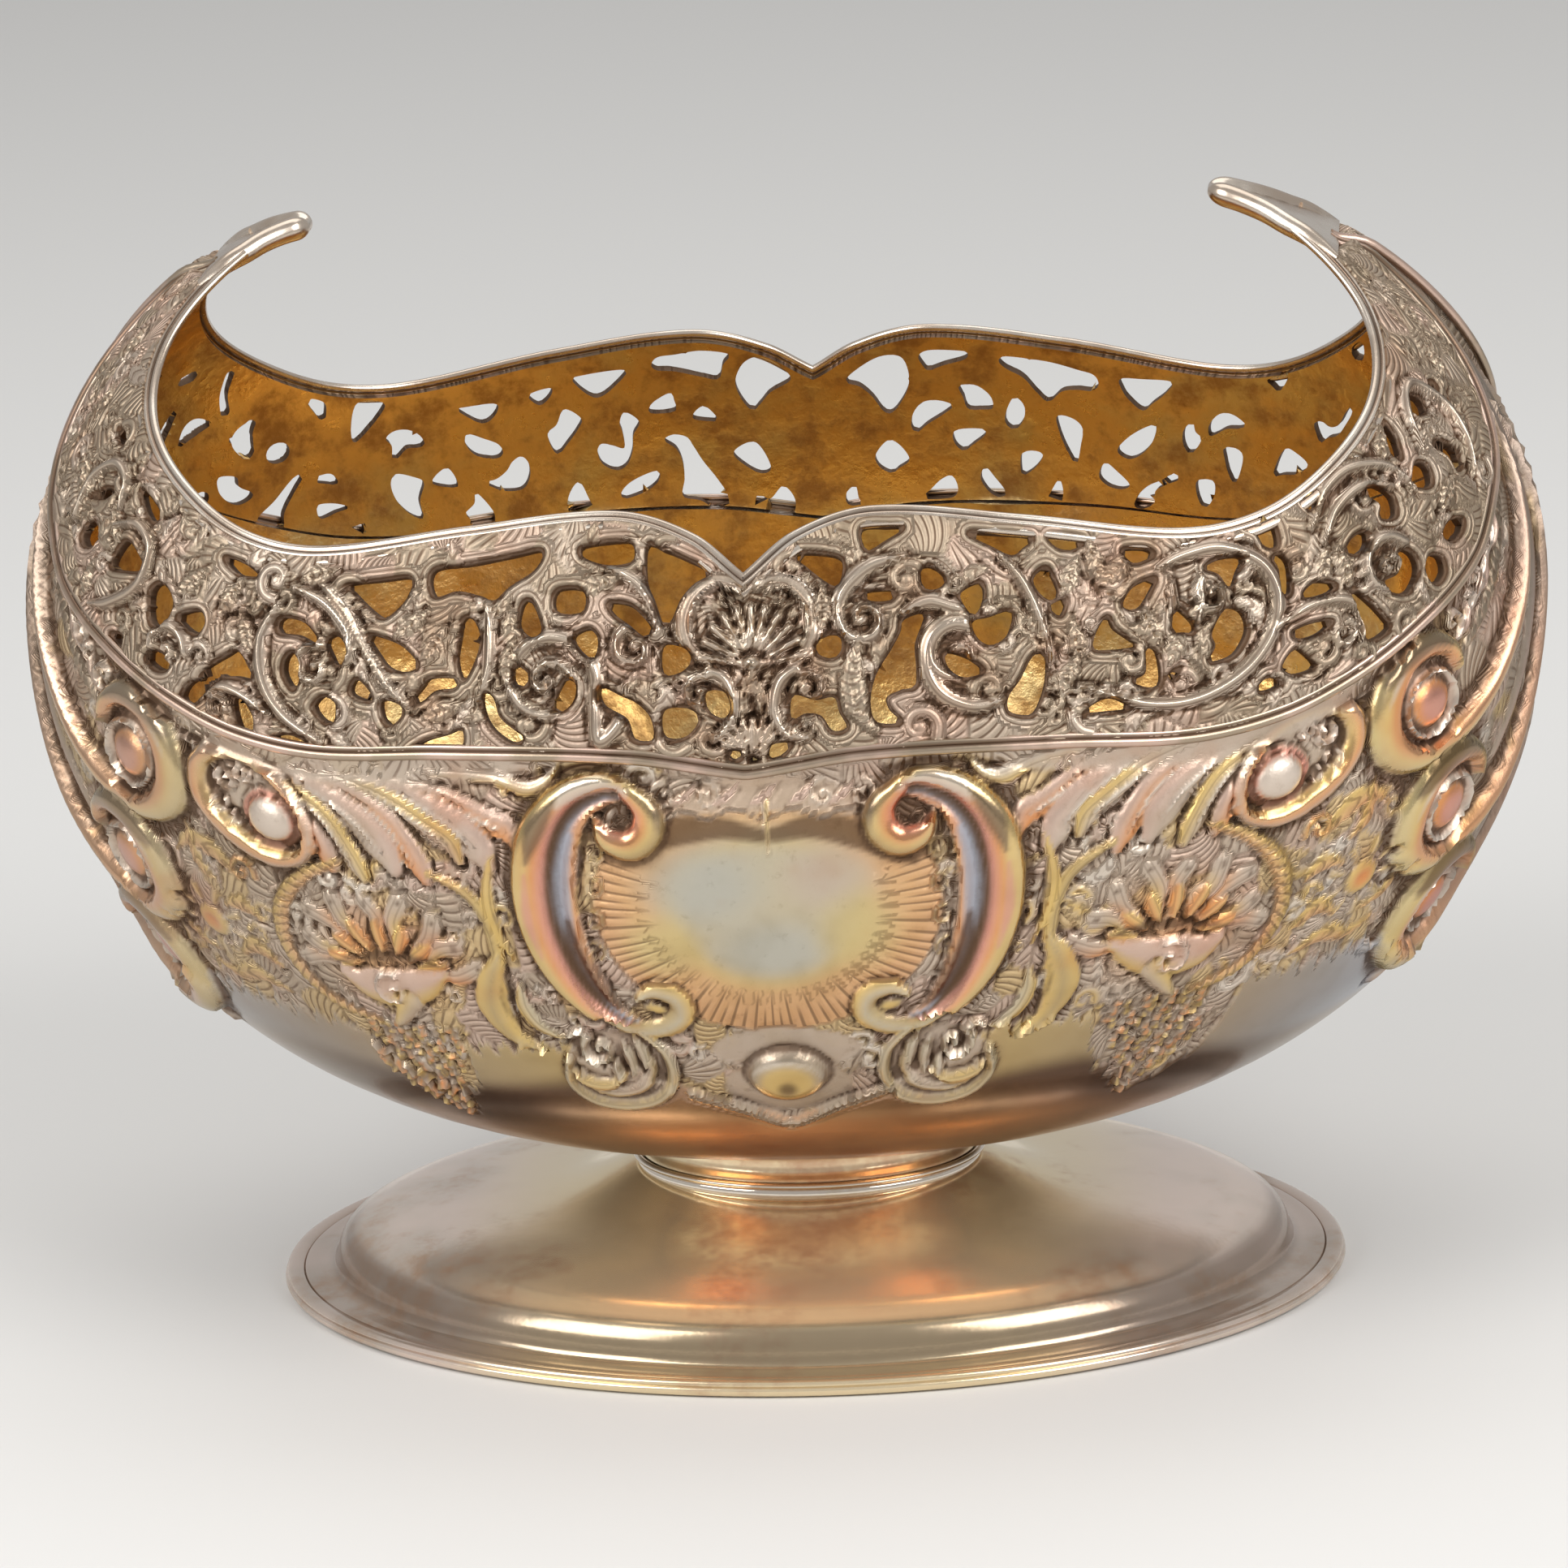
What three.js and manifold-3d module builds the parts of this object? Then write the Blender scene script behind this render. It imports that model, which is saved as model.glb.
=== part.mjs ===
// An oval bonbon dish on an oval foot, in millimetres, with +Z up.
// The origin is on the table, under the middle of the foot. The long axis runs along X.

import * as THREE from 'three';
import { mergeVertices } from 'three/addons/utils/BufferGeometryUtils.js';
import Module from 'manifold-3d';

const wasm = await Module();
wasm.setup();

// The bowl's outer skin: an oval that swells to the belly and draws in again to the rim. Rises count
// from the bottom of the bowl. The skin would close a little above the horns if it went on.
const BOWL_HALF_LENGTH = 80.5;
const BOWL_HALF_WIDTH = 51.8;
const BOWL_HEIGHT = 100.9;
const BELLY_RISE_AT_ENDS = 57.6;
const BELLY_RISE_AT_SIDES = 44.6;
const CLOSING_MARGIN_AT_ENDS = 6.7;
const CLOSING_MARGIN_AT_SIDES = 0.2;
const OVAL_POWER = 2.1;
const BELLY_POWER = 2.7;
const SIDE_CROWN_POWER = 2.0;
const BOWL_WALL = 0.9;
const GALLERY_WALL = 0.9;

// Two lines round the bowl: the angle in degrees from the long axis, and the rise as a share of the
// bowl's height. The front, the back and both ends are alike, so one quarter is enough.
const SHOULDER_LINE = [
  [0, 0.944], [5.5, 0.902], [10.5, 0.808], [15.4, 0.741], [20.8, 0.692], [26, 0.649], [36, 0.597],
  [43, 0.565], [50, 0.541], [58, 0.531], [69, 0.539], [82.2, 0.539], [90, 0.523],
];
const RIM_LINE = [
  [0, 1], [8, 0.987], [13.5, 0.949], [20.8, 0.88], [30, 0.813], [40, 0.76],
  [49, 0.724], [57, 0.716], [70, 0.741], [81, 0.756], [86.5, 0.736], [90, 0.697],
];

// Wires. Each rim wire stops this far below the base of the horn that it runs into.
const RIM_WIRE_THICKNESS = 2.0;
const RIM_WIRE_STOP = 0.75;
const SHOULDER_WIRE_THICKNESS = 0.9;
const GALLERY_END_ANGLE = 1.2;

// Horn tips, where the front and back rim wires run together and curl inwards.
const HORN_RISE = 3.2;
const HORN_LENGTH = 8.0;
const HORN_THICKNESS = 2.4;
const HORN_BASE_HALF_WIDTH = 5.0;
const HORN_TIP_HALF_WIDTH = 2.6;

// The foot and the neck, as reach along X and height. Their widths keep one ratio.
const OVAL_RATIO = 0.72;
const FOOT_REACH = 57.0;
const FOOT_EDGE_WIDTH = 2.1;
const FOOT_EDGE_HEIGHT = 1.6;
const FLANGE_WIDTH = 3.2;
const FLANGE_SLOPE = 0.4;
const FOOT_STEP_HEIGHT = 1.7;
const FOOT_ROLL_HEIGHT = 3.7;
const FOOT_CROWN_HEIGHT = 3.5;
const FOOT_WALL = 0.9;
const NECK_REACH = 17.5;
const NECK_RING_HEIGHT = 1.8;
const NECK_RING_SWELL = 0.9;
const NECK_RING_WALL = 2.6;
const NECK_BEAD_THICKNESS = 0.7;
const COLLAR_HEIGHT = 3.8;
const COLLAR_WALL = 1.0;
const COLLAR_WAIST = 0.6;

// The gaps that soldered joints keep between their pieces. The one under the rim wire is wider, because
// both edges there are faceted.
const JOINT_GAP = 0.3;
const RIM_SEAT_GAP = 0.55;

// The larger openings of half a gallery: angle in degrees, share of the way from the shoulder line up
// to the rim, half length, half height and lean in degrees.
const PIERCINGS = [
  [84.6, 0.52, 1.3, 1.1, 0],
  [85.6, 0.81, 1.4, 1.5, 30],
  [85.0, 0.27, 2.3, 1.4, 0],
  [79.8, 0.42, 1.5, 4.4, -18],
  [77.3, 0.74, 1.3, 1.1, 0],
  [73.2, 0.59, 1.7, 2.0, 40],
  [75.6, 0.34, 2.0, 0.9, 0],
  [70.8, 0.25, 1.3, 2.8, -15],
  [68.9, 0.67, 1.0, 2.1, 20],
  [64.8, 0.51, 1.5, 1.5, 0],
  [62.0, 0.69, 1.6, 1.1, 20],
  [61.8, 0.30, 1.1, 2.0, 0],
  [55.4, 0.51, 2.4, 1.3, 0],
  [54.6, 0.77, 1.3, 1.2, 0],
  [49.0, 0.22, 1.6, 1.0, 30],
  [47.0, 0.55, 1.8, 0.9, 20],
  [41.0, 0.62, 1.6, 1.3, 0],
  [36.2, 0.34, 2.0, 2.0, 0],
  [32.0, 0.55, 1.4, 1.2, 0],
  [26.5, 0.50, 1.5, 1.5, 0],
  [21.0, 0.51, 1.5, 1.8, 0],
  [15.2, 0.55, 1.2, 1.8, 20],
];

// How finely the curved pieces are divided.
const BOWL_COLUMNS = 72;
const BOWL_ROWS = 9;
const GALLERY_ROWS = 2;
const WIRE_STEPS = 20;
const RIM_WIRE_SIDES = 8;
const THIN_WIRE_SIDES = 5;
const TURNED_SEGMENTS = 40;
const PIERCING_SIDES = 6;
const HORN_STEPS = 6;
const HORN_SIDES = 10;

const QUARTER = Math.PI / 2;
const FULL_TURN = 2 * Math.PI;

// Heights that follow from the sizes above, from the table upwards.
const footTop = FOOT_EDGE_HEIGHT + FLANGE_SLOPE + FOOT_STEP_HEIGHT + FOOT_ROLL_HEIGHT + FOOT_CROWN_HEIGHT;
const neckRingBottom = footTop + JOINT_GAP;
const neckRingTop = neckRingBottom + NECK_RING_HEIGHT;
const collarBottom = neckRingTop + JOINT_GAP;
const collarTop = collarBottom + COLLAR_HEIGHT;
const bowlBottom = collarTop + JOINT_GAP - undersideRise(NECK_REACH - COLLAR_WALL);
const hornTop = bowlBottom + BOWL_HEIGHT;
const hornBase = hornTop + 0.2 - HORN_RISE;

const silver = { color: 0xb9aa9b, roughness: 0.32, metalness: 1 };
const relief = { color: 0xa99682, roughness: 0.42, metalness: 1 };
const gilt = { color: 0xc79a4e, roughness: 0.35, metalness: 1 };
const brightWire = { color: 0xd8d0c6, roughness: 0.22, metalness: 1 };
const collarSilver = { color: 0xa8895f, roughness: 0.3, metalness: 1 };

const dish = new THREE.Group();

function addPiece(name, geometry, finish) {
  const mesh = new THREE.Mesh(geometry, new THREE.MeshStandardMaterial(finish));
  mesh.name = name;
  dish.add(mesh);
}

// Closed geometry from corner points, three to a triangle; triangles with no area are left out.
function geometryFromCorners(corners) {
  const kept = [];
  for (let i = 0; i < corners.length; i += 3) {
    const [a, b, c] = corners.slice(i, i + 3);
    const area = b.clone().sub(a).cross(c.clone().sub(a)).length();
    if (area > 1e-7) {
      kept.push(a, b, c);
    }
  }
  const geometry = new THREE.BufferGeometry().setFromPoints(kept);
  return mergeVertices(geometry, 1e-4);
}

function pushQuad(corners, a, b, c, d) {
  corners.push(a, b, c, a, c, d);
}

function toSolid(geometry) {
  const bare = geometry.clone();
  bare.deleteAttribute('normal');
  bare.deleteAttribute('uv');
  const merged = mergeVertices(bare, 1e-4);
  const mesh = new wasm.Mesh({
    numProp: 3,
    vertProperties: new Float32Array(merged.attributes.position.array),
    triVerts: new Uint32Array(merged.index.array),
  });
  return new wasm.Manifold(mesh);
}

function fromSolid(solid) {
  const mesh = solid.getMesh();
  const geometry = new THREE.BufferGeometry();
  geometry.setAttribute('position', new THREE.BufferAttribute(mesh.vertProperties, 3));
  geometry.setIndex(new THREE.BufferAttribute(mesh.triVerts, 1));
  return geometry;
}

// A smooth curve through knots of [angle in degrees, height], for an angle in radians anywhere round
// the bowl.
function lineHeight(knots, angle) {
  const turned = ((angle % Math.PI) + Math.PI) % Math.PI;
  const folded = THREE.MathUtils.radToDeg(Math.min(turned, Math.PI - turned));
  let last = knots.length - 2;
  while (last > 0 && knots[last][0] > folded) {
    last -= 1;
  }
  const [x0, y0] = knots[last];
  const [x1, y1] = knots[last + 1];
  const span = x1 - x0;
  const t = (folded - x0) / span;
  const slope0 = last > 0 ? slopeAt(knots, last) : 0;
  const slope1 = last + 2 < knots.length ? slopeAt(knots, last + 1) : (y1 - y0) / span;
  const hermite0 = (1 + 2 * t) * (1 - t) ** 2 * y0 + t * (1 - t) ** 2 * span * slope0;
  const hermite1 = t * t * (3 - 2 * t) * y1 + t * t * (t - 1) * span * slope1;
  return bowlBottom + BOWL_HEIGHT * (hermite0 + hermite1);
}

function slopeAt(knots, i) {
  return (knots[i + 1][1] - knots[i - 1][1]) / (knots[i + 1][0] - knots[i - 1][0]);
}

const shoulderHeight = (angle) => lineHeight(SHOULDER_LINE, angle);
const rimHeight = (angle) => lineHeight(RIM_LINE, angle);

const signedPower = (value, power) => Math.sign(value) * Math.abs(value) ** power;

// Half the bowl's span, along or across, at a rise above its bottom.
function halfSpan(rise, reach, belly, closing, upperPower) {
  if (rise < belly) {
    return reach * (1 - ((belly - rise) / belly) ** 2) ** (1 / BELLY_POWER);
  }
  return reach * (1 - ((rise - belly) / (closing - belly)) ** 2) ** (1 / upperPower);
}

// How far the underside has risen where the neck, with this reach, meets it: the lower of along and across.
function undersideRise(reach) {
  const along = BELLY_RISE_AT_ENDS * (reach / BOWL_HALF_LENGTH) ** BELLY_POWER / 2;
  const across = BELLY_RISE_AT_SIDES * (reach * OVAL_RATIO / BOWL_HALF_WIDTH) ** BELLY_POWER / 2;
  return Math.min(along, across);
}

function skinPoint(angle, height) {
  const rise = Math.max(height - bowlBottom, 0);
  const endsClose = BOWL_HEIGHT + CLOSING_MARGIN_AT_ENDS;
  const sidesClose = BOWL_HEIGHT + CLOSING_MARGIN_AT_SIDES;
  const length = halfSpan(rise, BOWL_HALF_LENGTH, BELLY_RISE_AT_ENDS, endsClose, BELLY_POWER);
  const width = halfSpan(rise, BOWL_HALF_WIDTH, BELLY_RISE_AT_SIDES, sidesClose, SIDE_CROWN_POWER);
  const x = length * signedPower(Math.cos(angle), 2 / OVAL_POWER);
  const y = width * signedPower(Math.sin(angle), 2 / OVAL_POWER);
  return new THREE.Vector3(x, y, height);
}

function skinNormal(angle, height) {
  if (height <= bowlBottom + 0.01) {
    return new THREE.Vector3(0, 0, -1);
  }
  const turn = 0.01;
  const lift = 0.005;
  const around = skinPoint(angle + turn, height).sub(skinPoint(angle - turn, height));
  const upwards = skinPoint(angle, height + lift).sub(skinPoint(angle, height - lift));
  return around.cross(upwards).normalize();
}

// A point at the given depth under the outer skin.
function sheetPoint(angle, height, depth) {
  return skinPoint(angle, height).addScaledVector(skinNormal(angle, height), -depth);
}

// The height of a line that runs beside a curve on the skin, at a distance measured square to it.
function besideCurve(curveHeight, angle, distance) {
  const turn = 0.01;
  const height = curveHeight(angle);
  const before = skinPoint(angle - turn, curveHeight(angle - turn));
  const along = skinPoint(angle + turn, curveHeight(angle + turn)).sub(before).normalize();
  const lift = 0.1;
  const upwards = skinPoint(angle, height + lift).sub(skinPoint(angle, height - lift)).divideScalar(2 * lift);
  const square = Math.sqrt(upwards.lengthSq() - upwards.dot(along) ** 2);
  return height + distance / square;
}

// Columns lie closer together at the two pointed ends than along the sides.
function bowlAngle(share) {
  const angle = FULL_TURN * share;
  return angle - 0.35 * Math.sin(2 * angle);
}

// The embossed bowl: a sheet from the bottom up to the shoulder line, which climbs both ends.
function bowlShell() {
  const height = (column, row) => {
    const edge = shoulderHeight(bowlAngle(column / BOWL_COLUMNS));
    return bowlBottom + (edge - bowlBottom) * (row / BOWL_ROWS) ** 2.2;
  };
  const at = (column, row, depth) => (
    sheetPoint(bowlAngle((column % BOWL_COLUMNS) / BOWL_COLUMNS), height(column % BOWL_COLUMNS, row), depth)
  );
  const corners = [];
  for (let column = 0; column < BOWL_COLUMNS; column += 1) {
    for (let row = 0; row < BOWL_ROWS; row += 1) {
      const face = [[column, row], [column + 1, row], [column + 1, row + 1], [column, row + 1]];
      pushQuad(corners, ...face.map(([c, r]) => at(c, r, 0)));
      pushQuad(corners, ...face.reverse().map(([c, r]) => at(c, r, BOWL_WALL)));
    }
    pushQuad(
      corners, at(column, BOWL_ROWS, 0), at(column + 1, BOWL_ROWS, 0),
      at(column + 1, BOWL_ROWS, BOWL_WALL), at(column, BOWL_ROWS, BOWL_WALL),
    );
  }
  return geometryFromCorners(corners);
}

function piercing([degrees, share, halfLength, halfHeight, lean], mirrored) {
  const angle = THREE.MathUtils.degToRad(mirrored ? 180 - degrees : degrees);
  const height = THREE.MathUtils.lerp(shoulderHeight(angle), rimHeight(angle), share);
  const normal = skinNormal(angle, height);
  const sideways = new THREE.Vector3(0, 0, 1).cross(normal).normalize();
  const upwards = normal.clone().cross(sideways);
  const turn = THREE.MathUtils.degToRad(mirrored ? -lean : lean);
  const long = sideways.clone().multiplyScalar(Math.cos(turn)).addScaledVector(upwards, Math.sin(turn));
  const tall = normal.clone().cross(long);
  const cutter = new THREE.CylinderGeometry(1, 1, 6 * GALLERY_WALL, PIERCING_SIDES);
  cutter.scale(halfLength, 1, halfHeight);
  const basis = new THREE.Matrix4().makeBasis(long, normal, tall.negate());
  basis.setPosition(sheetPoint(angle, height, GALLERY_WALL / 2));
  cutter.applyMatrix4(basis);
  return toSolid(cutter);
}

// A pierced gallery: the sheet between the shoulder line and the rim wire, with its openings cut.
function gallery() {
  const rimDistance = RIM_WIRE_THICKNESS / 2 + RIM_SEAT_GAP;
  const firstAngle = THREE.MathUtils.degToRad(GALLERY_END_ANGLE);
  const columns = BOWL_COLUMNS / 2;
  const angleOf = (column) => (
    THREE.MathUtils.clamp(bowlAngle(column / BOWL_COLUMNS), firstAngle, Math.PI - firstAngle)
  );
  const at = (column, row, depth) => {
    const angle = angleOf(column);
    const low = besideCurve(shoulderHeight, angle, JOINT_GAP);
    const high = Math.min(besideCurve(rimHeight, angle, -rimDistance), hornBase - JOINT_GAP);
    return sheetPoint(angle, low + (high - low) * row / GALLERY_ROWS, depth);
  };
  const corners = [];
  for (let column = 0; column < columns; column += 1) {
    for (let row = 0; row < GALLERY_ROWS; row += 1) {
      const face = [[column, row], [column + 1, row], [column + 1, row + 1], [column, row + 1]];
      pushQuad(corners, ...face.map(([c, r]) => at(c, r, 0)));
      pushQuad(corners, ...face.reverse().map(([c, r]) => at(c, r, GALLERY_WALL)));
    }
    const [left, right] = [column, column + 1];
    pushQuad(corners, at(right, 0, 0), at(left, 0, 0), at(left, 0, GALLERY_WALL), at(right, 0, GALLERY_WALL));
    const top = GALLERY_ROWS;
    pushQuad(
      corners, at(left, top, 0), at(right, top, 0), at(right, top, GALLERY_WALL), at(left, top, GALLERY_WALL),
    );
  }
  for (let row = 0; row < GALLERY_ROWS; row += 1) {
    const end = columns;
    const above = row + 1;
    pushQuad(corners, at(0, row, 0), at(0, above, 0), at(0, above, GALLERY_WALL), at(0, row, GALLERY_WALL));
    pushQuad(
      corners, at(end, above, 0), at(end, row, 0), at(end, row, GALLERY_WALL), at(end, above, GALLERY_WALL),
    );
  }
  let solid = toSolid(geometryFromCorners(corners));
  for (const opening of PIERCINGS) {
    solid = solid.subtract(piercing(opening, false)).subtract(piercing(opening, true));
  }
  return fromSolid(solid);
}

// A closed bar through rings of points, each ring turning counterclockwise about the way ahead.
function barThrough(rings, firstCentre, lastCentre) {
  const sides = rings[0].length;
  const end = rings.length - 1;
  const corners = [];
  for (let i = 0; i < sides; i += 1) {
    const next = (i + 1) % sides;
    for (let step = 0; step < end; step += 1) {
      pushQuad(corners, rings[step][i], rings[step][next], rings[step + 1][next], rings[step + 1][i]);
    }
    corners.push(firstCentre, rings[0][next], rings[0][i]);
    corners.push(lastCentre, rings[end][i], rings[end][next]);
  }
  return geometryFromCorners(corners);
}

// An oval ring of points round a centre, from its two half axes.
function ovalPoints(centre, firstAxis, secondAxis, sides) {
  return Array.from({ length: sides }, (_, i) => {
    const turn = FULL_TURN * i / sides;
    return centre.clone()
      .addScaledVector(firstAxis, Math.cos(turn))
      .addScaledVector(secondAxis, Math.sin(turn));
  });
}

// A round wire through the given places, each a centre with the two directions across the wire.
function wireSolid(places, radius, sides) {
  const rings = places.map(({ centre, out, side }) => (
    ovalPoints(centre, out.clone().multiplyScalar(radius), side.clone().multiplyScalar(radius), sides)
  ));
  return barThrough(rings, places[0].centre, places[places.length - 1].centre);
}

// The centre of a wire on the skin and its directions across, at one angle of a line round the bowl.
function wirePlace(curveHeight, angle, depth) {
  const turn = 0.004;
  const height = curveHeight(angle);
  const before = skinPoint(angle - turn, curveHeight(angle - turn));
  const along = skinPoint(angle + turn, curveHeight(angle + turn)).sub(before).normalize();
  const out = skinNormal(angle, height);
  const side = along.clone().cross(out).normalize();
  return { centre: sheetPoint(angle, height, depth), out, side, along };
}

// The angle at which the rim line, falling from the horn, passes a height.
function rimAngleAt(height) {
  let [above, below] = [0, QUARTER / 2];
  for (let i = 0; i < 30; i += 1) {
    const middle = (above + below) / 2;
    if (rimHeight(middle) > height) {
      above = middle;
    } else {
      below = middle;
    }
  }
  return above;
}

// One quarter of the rim wire, from the horn to the notch in the middle of a side, where it is mitred.
function rimWireQuarter() {
  const first = rimAngleAt(hornBase - RIM_WIRE_STOP);
  const middle = QUARTER - 0.012;
  const radius = RIM_WIRE_THICKNESS / 2;
  const places = [];
  for (let step = 0; step <= WIRE_STEPS; step += 1) {
    const angle = first + (middle - first) * (step / WIRE_STEPS) ** 0.8;
    places.push(wirePlace(rimHeight, angle, GALLERY_WALL / 2));
  }
  const notch = places[places.length - 1];
  const slide = (direction) => {
    const slid = direction.clone();
    return slid.addScaledVector(notch.along, -slid.x / notch.along.x);
  };
  const toMitre = (JOINT_GAP / 2 - notch.centre.x) / notch.along.x;
  notch.centre.addScaledVector(notch.along, toMitre);
  notch.out = slide(notch.out);
  notch.side = slide(notch.side);
  return wireSolid(places, radius, RIM_WIRE_SIDES);
}

// The thin wire that covers the seam between bowl and gallery, all along one side.
function shoulderWire() {
  const radius = SHOULDER_WIRE_THICKNESS / 2;
  const places = [];
  const steps = 2 * WIRE_STEPS;
  const first = THREE.MathUtils.degToRad(2 * GALLERY_END_ANGLE);
  for (let step = 0; step <= steps; step += 1) {
    const share = Math.PI * step / steps;
    const angle = THREE.MathUtils.clamp(share - 0.4 * Math.sin(2 * share), first, Math.PI - first);
    places.push(wirePlace(shoulderHeight, angle, -(radius + JOINT_GAP)));
  }
  return wireSolid(places, radius, THIN_WIRE_SIDES);
}

// A horn tip: a flat tapering bar that leaves the top of one end and curls inwards to a round point.
function hornTip() {
  const base = skinPoint(0, hornBase);
  const tip = new THREE.Vector3(base.x - HORN_LENGTH, 0, base.z + HORN_RISE);
  const bend = new THREE.Vector3(base.x - HORN_LENGTH * 0.58, 0, tip.z - 0.1);
  const path = new THREE.QuadraticBezierCurve3(base, bend, tip);
  const sideways = new THREE.Vector3(0, 1, 0);
  const rings = [];
  for (let step = 0; step <= HORN_STEPS; step += 1) {
    const share = step / HORN_STEPS;
    const taper = Math.sqrt(1 - share ** 4 * 0.75);
    const halfWidth = THREE.MathUtils.lerp(HORN_BASE_HALF_WIDTH, HORN_TIP_HALF_WIDTH, share) * taper;
    const across = path.getTangent(share).cross(sideways).normalize();
    const widthAxis = sideways.clone().multiplyScalar(halfWidth);
    const thicknessAxis = across.multiplyScalar(HORN_THICKNESS / 2 * taper);
    rings.push(ovalPoints(path.getPoint(share), widthAxis, thicknessAxis, HORN_SIDES));
  }
  return barThrough(rings, path.getPoint(0), path.getPoint(1));
}

// An oval ring turned from a closed outline of [reach, height] points, listed counterclockwise.
function turnedOval(outline) {
  const points = outline.map(([reach, height]) => new THREE.Vector2(reach, height));
  points.push(points[0].clone());
  const geometry = new THREE.LatheGeometry(points, TURNED_SEGMENTS);
  geometry.rotateX(QUARTER);
  geometry.scale(1, OVAL_RATIO, 1);
  geometry.deleteAttribute('normal');
  geometry.deleteAttribute('uv');
  return mergeVertices(geometry, 1e-4);
}

// The closed outline of a sheet: the given outer line, and the same line one wall further in.
function sheetOutline(outerLine, wall) {
  const innerLine = outerLine.map((point, i) => {
    const before = outerLine[Math.max(i - 1, 0)];
    const after = outerLine[Math.min(i + 1, outerLine.length - 1)];
    const along = new THREE.Vector2(after[0] - before[0], after[1] - before[1]).normalize();
    return [point[0] - along.y * wall, point[1] + along.x * wall];
  });
  return [...outerLine, ...innerLine.reverse()];
}

function footEdgeWire() {
  const inner = FOOT_REACH - FOOT_EDGE_WIDTH;
  return turnedOval([
    [inner, 0],
    [FOOT_REACH - 0.5, 0],
    [FOOT_REACH, 0.5],
    [FOOT_REACH, FOOT_EDGE_HEIGHT - 0.5],
    [FOOT_REACH - 0.6, FOOT_EDGE_HEIGHT],
    [inner, FOOT_EDGE_HEIGHT],
  ]);
}

// The foot, from the flange inwards: a small upright step, a round roll and a slope up to a flat seat.
function footDome() {
  const flangeEnd = FOOT_REACH - FOOT_EDGE_WIDTH - JOINT_GAP;
  const stepReach = flangeEnd - FLANGE_WIDTH + JOINT_GAP;
  const stepFoot = FOOT_EDGE_HEIGHT + FLANGE_SLOPE;
  const stepTop = stepFoot + FOOT_STEP_HEIGHT;
  const rollTop = stepTop + FOOT_ROLL_HEIGHT;
  const slopeStart = stepReach - 13;
  const slopeEnd = NECK_REACH + 6;
  const line = [
    [flangeEnd, FOOT_EDGE_HEIGHT],
    [stepReach, stepFoot],
    [stepReach - 0.6, stepTop],
    [stepReach - 2.2, stepTop + FOOT_ROLL_HEIGHT * 0.55],
    [stepReach - 6.7, rollTop],
    [slopeStart, rollTop + FOOT_CROWN_HEIGHT * 0.26],
    [(slopeStart + slopeEnd) / 2, rollTop + FOOT_CROWN_HEIGHT * 0.46],
    [slopeEnd, rollTop + FOOT_CROWN_HEIGHT * 0.74],
    [NECK_REACH + 1.5, footTop],
    [NECK_REACH - 0.6, footTop],
  ];
  return turnedOval(sheetOutline(line, FOOT_WALL));
}

function neckRing() {
  const inner = NECK_REACH + NECK_RING_SWELL - NECK_RING_WALL;
  const middle = (neckRingBottom + neckRingTop) / 2;
  return turnedOval([
    [inner, neckRingBottom],
    [NECK_REACH + 0.6, neckRingBottom],
    [NECK_REACH + NECK_RING_SWELL, middle],
    [NECK_REACH + 0.4, neckRingTop],
    [inner, neckRingTop],
  ]);
}

function neckBead() {
  const radius = NECK_BEAD_THICKNESS / 2;
  const centre = NECK_REACH + 0.4 + JOINT_GAP + radius;
  const neckSeam = (neckRingTop + collarBottom) / 2;
  const outline = Array.from({ length: 6 }, (_, i) => {
    const turn = FULL_TURN * i / 6;
    return [centre + radius * Math.cos(turn), neckSeam + radius * Math.sin(turn)];
  });
  return turnedOval(outline);
}

// The concave collar between the neck ring and the underside of the bowl.
function neckCollar() {
  const waist = NECK_REACH - COLLAR_WAIST;
  const line = [
    [NECK_REACH + 0.4, collarBottom],
    [waist + 0.15, collarBottom + COLLAR_HEIGHT * 0.3],
    [waist, collarBottom + COLLAR_HEIGHT * 0.6],
    [NECK_REACH, collarTop],
  ];
  const inner = line.map(([reach, height]) => [reach - COLLAR_WALL, height]);
  return turnedOval([...line, ...inner.reverse()]);
}

function turned(geometry) {
  return geometry.clone().rotateZ(Math.PI);
}

function mirroredAcross(geometry) {
  const flipped = geometry.clone().scale(-1, 1, 1);
  const index = flipped.index.array;
  for (let i = 0; i < index.length; i += 3) {
    [index[i + 1], index[i + 2]] = [index[i + 2], index[i + 1]];
  }
  return flipped;
}

addPiece('foot_edge_wire', footEdgeWire(), brightWire);
addPiece('foot_dome', footDome(), silver);
addPiece('neck_ring', neckRing(), brightWire);
addPiece('neck_bead', neckBead(), brightWire);
addPiece('neck_collar', neckCollar(), collarSilver);
addPiece('bowl_shell', bowlShell(), relief);

const backGallery = gallery();
addPiece('gallery_front', turned(backGallery), gilt);
addPiece('gallery_back', backGallery, gilt);

const backShoulderWire = shoulderWire();
addPiece('shoulder_wire_front', turned(backShoulderWire), brightWire);
addPiece('shoulder_wire_back', backShoulderWire, brightWire);

const backRightWire = rimWireQuarter();
const backLeftWire = mirroredAcross(backRightWire);
addPiece('rim_wire_back_right', backRightWire, brightWire);
addPiece('rim_wire_back_left', backLeftWire, brightWire);
addPiece('rim_wire_front_left', turned(backRightWire), brightWire);
addPiece('rim_wire_front_right', turned(backLeftWire), brightWire);

const rightHorn = hornTip();
addPiece('horn_tip_right', rightHorn, brightWire);
addPiece('horn_tip_left', turned(rightHorn), brightWire);

export default dish;
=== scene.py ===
"""An oval silver bonbon dish: embossed bowl, pierced galleries, reeded rim, two horned ends and a plain foot.

Shapes are worked out in millimetres and placed in metres, +Z up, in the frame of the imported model. The ornament
is drawn on a chart of the bowl's skin: s runs round the bowl, t runs up its side, both in millimetres.
"""

from __future__ import annotations

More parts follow.
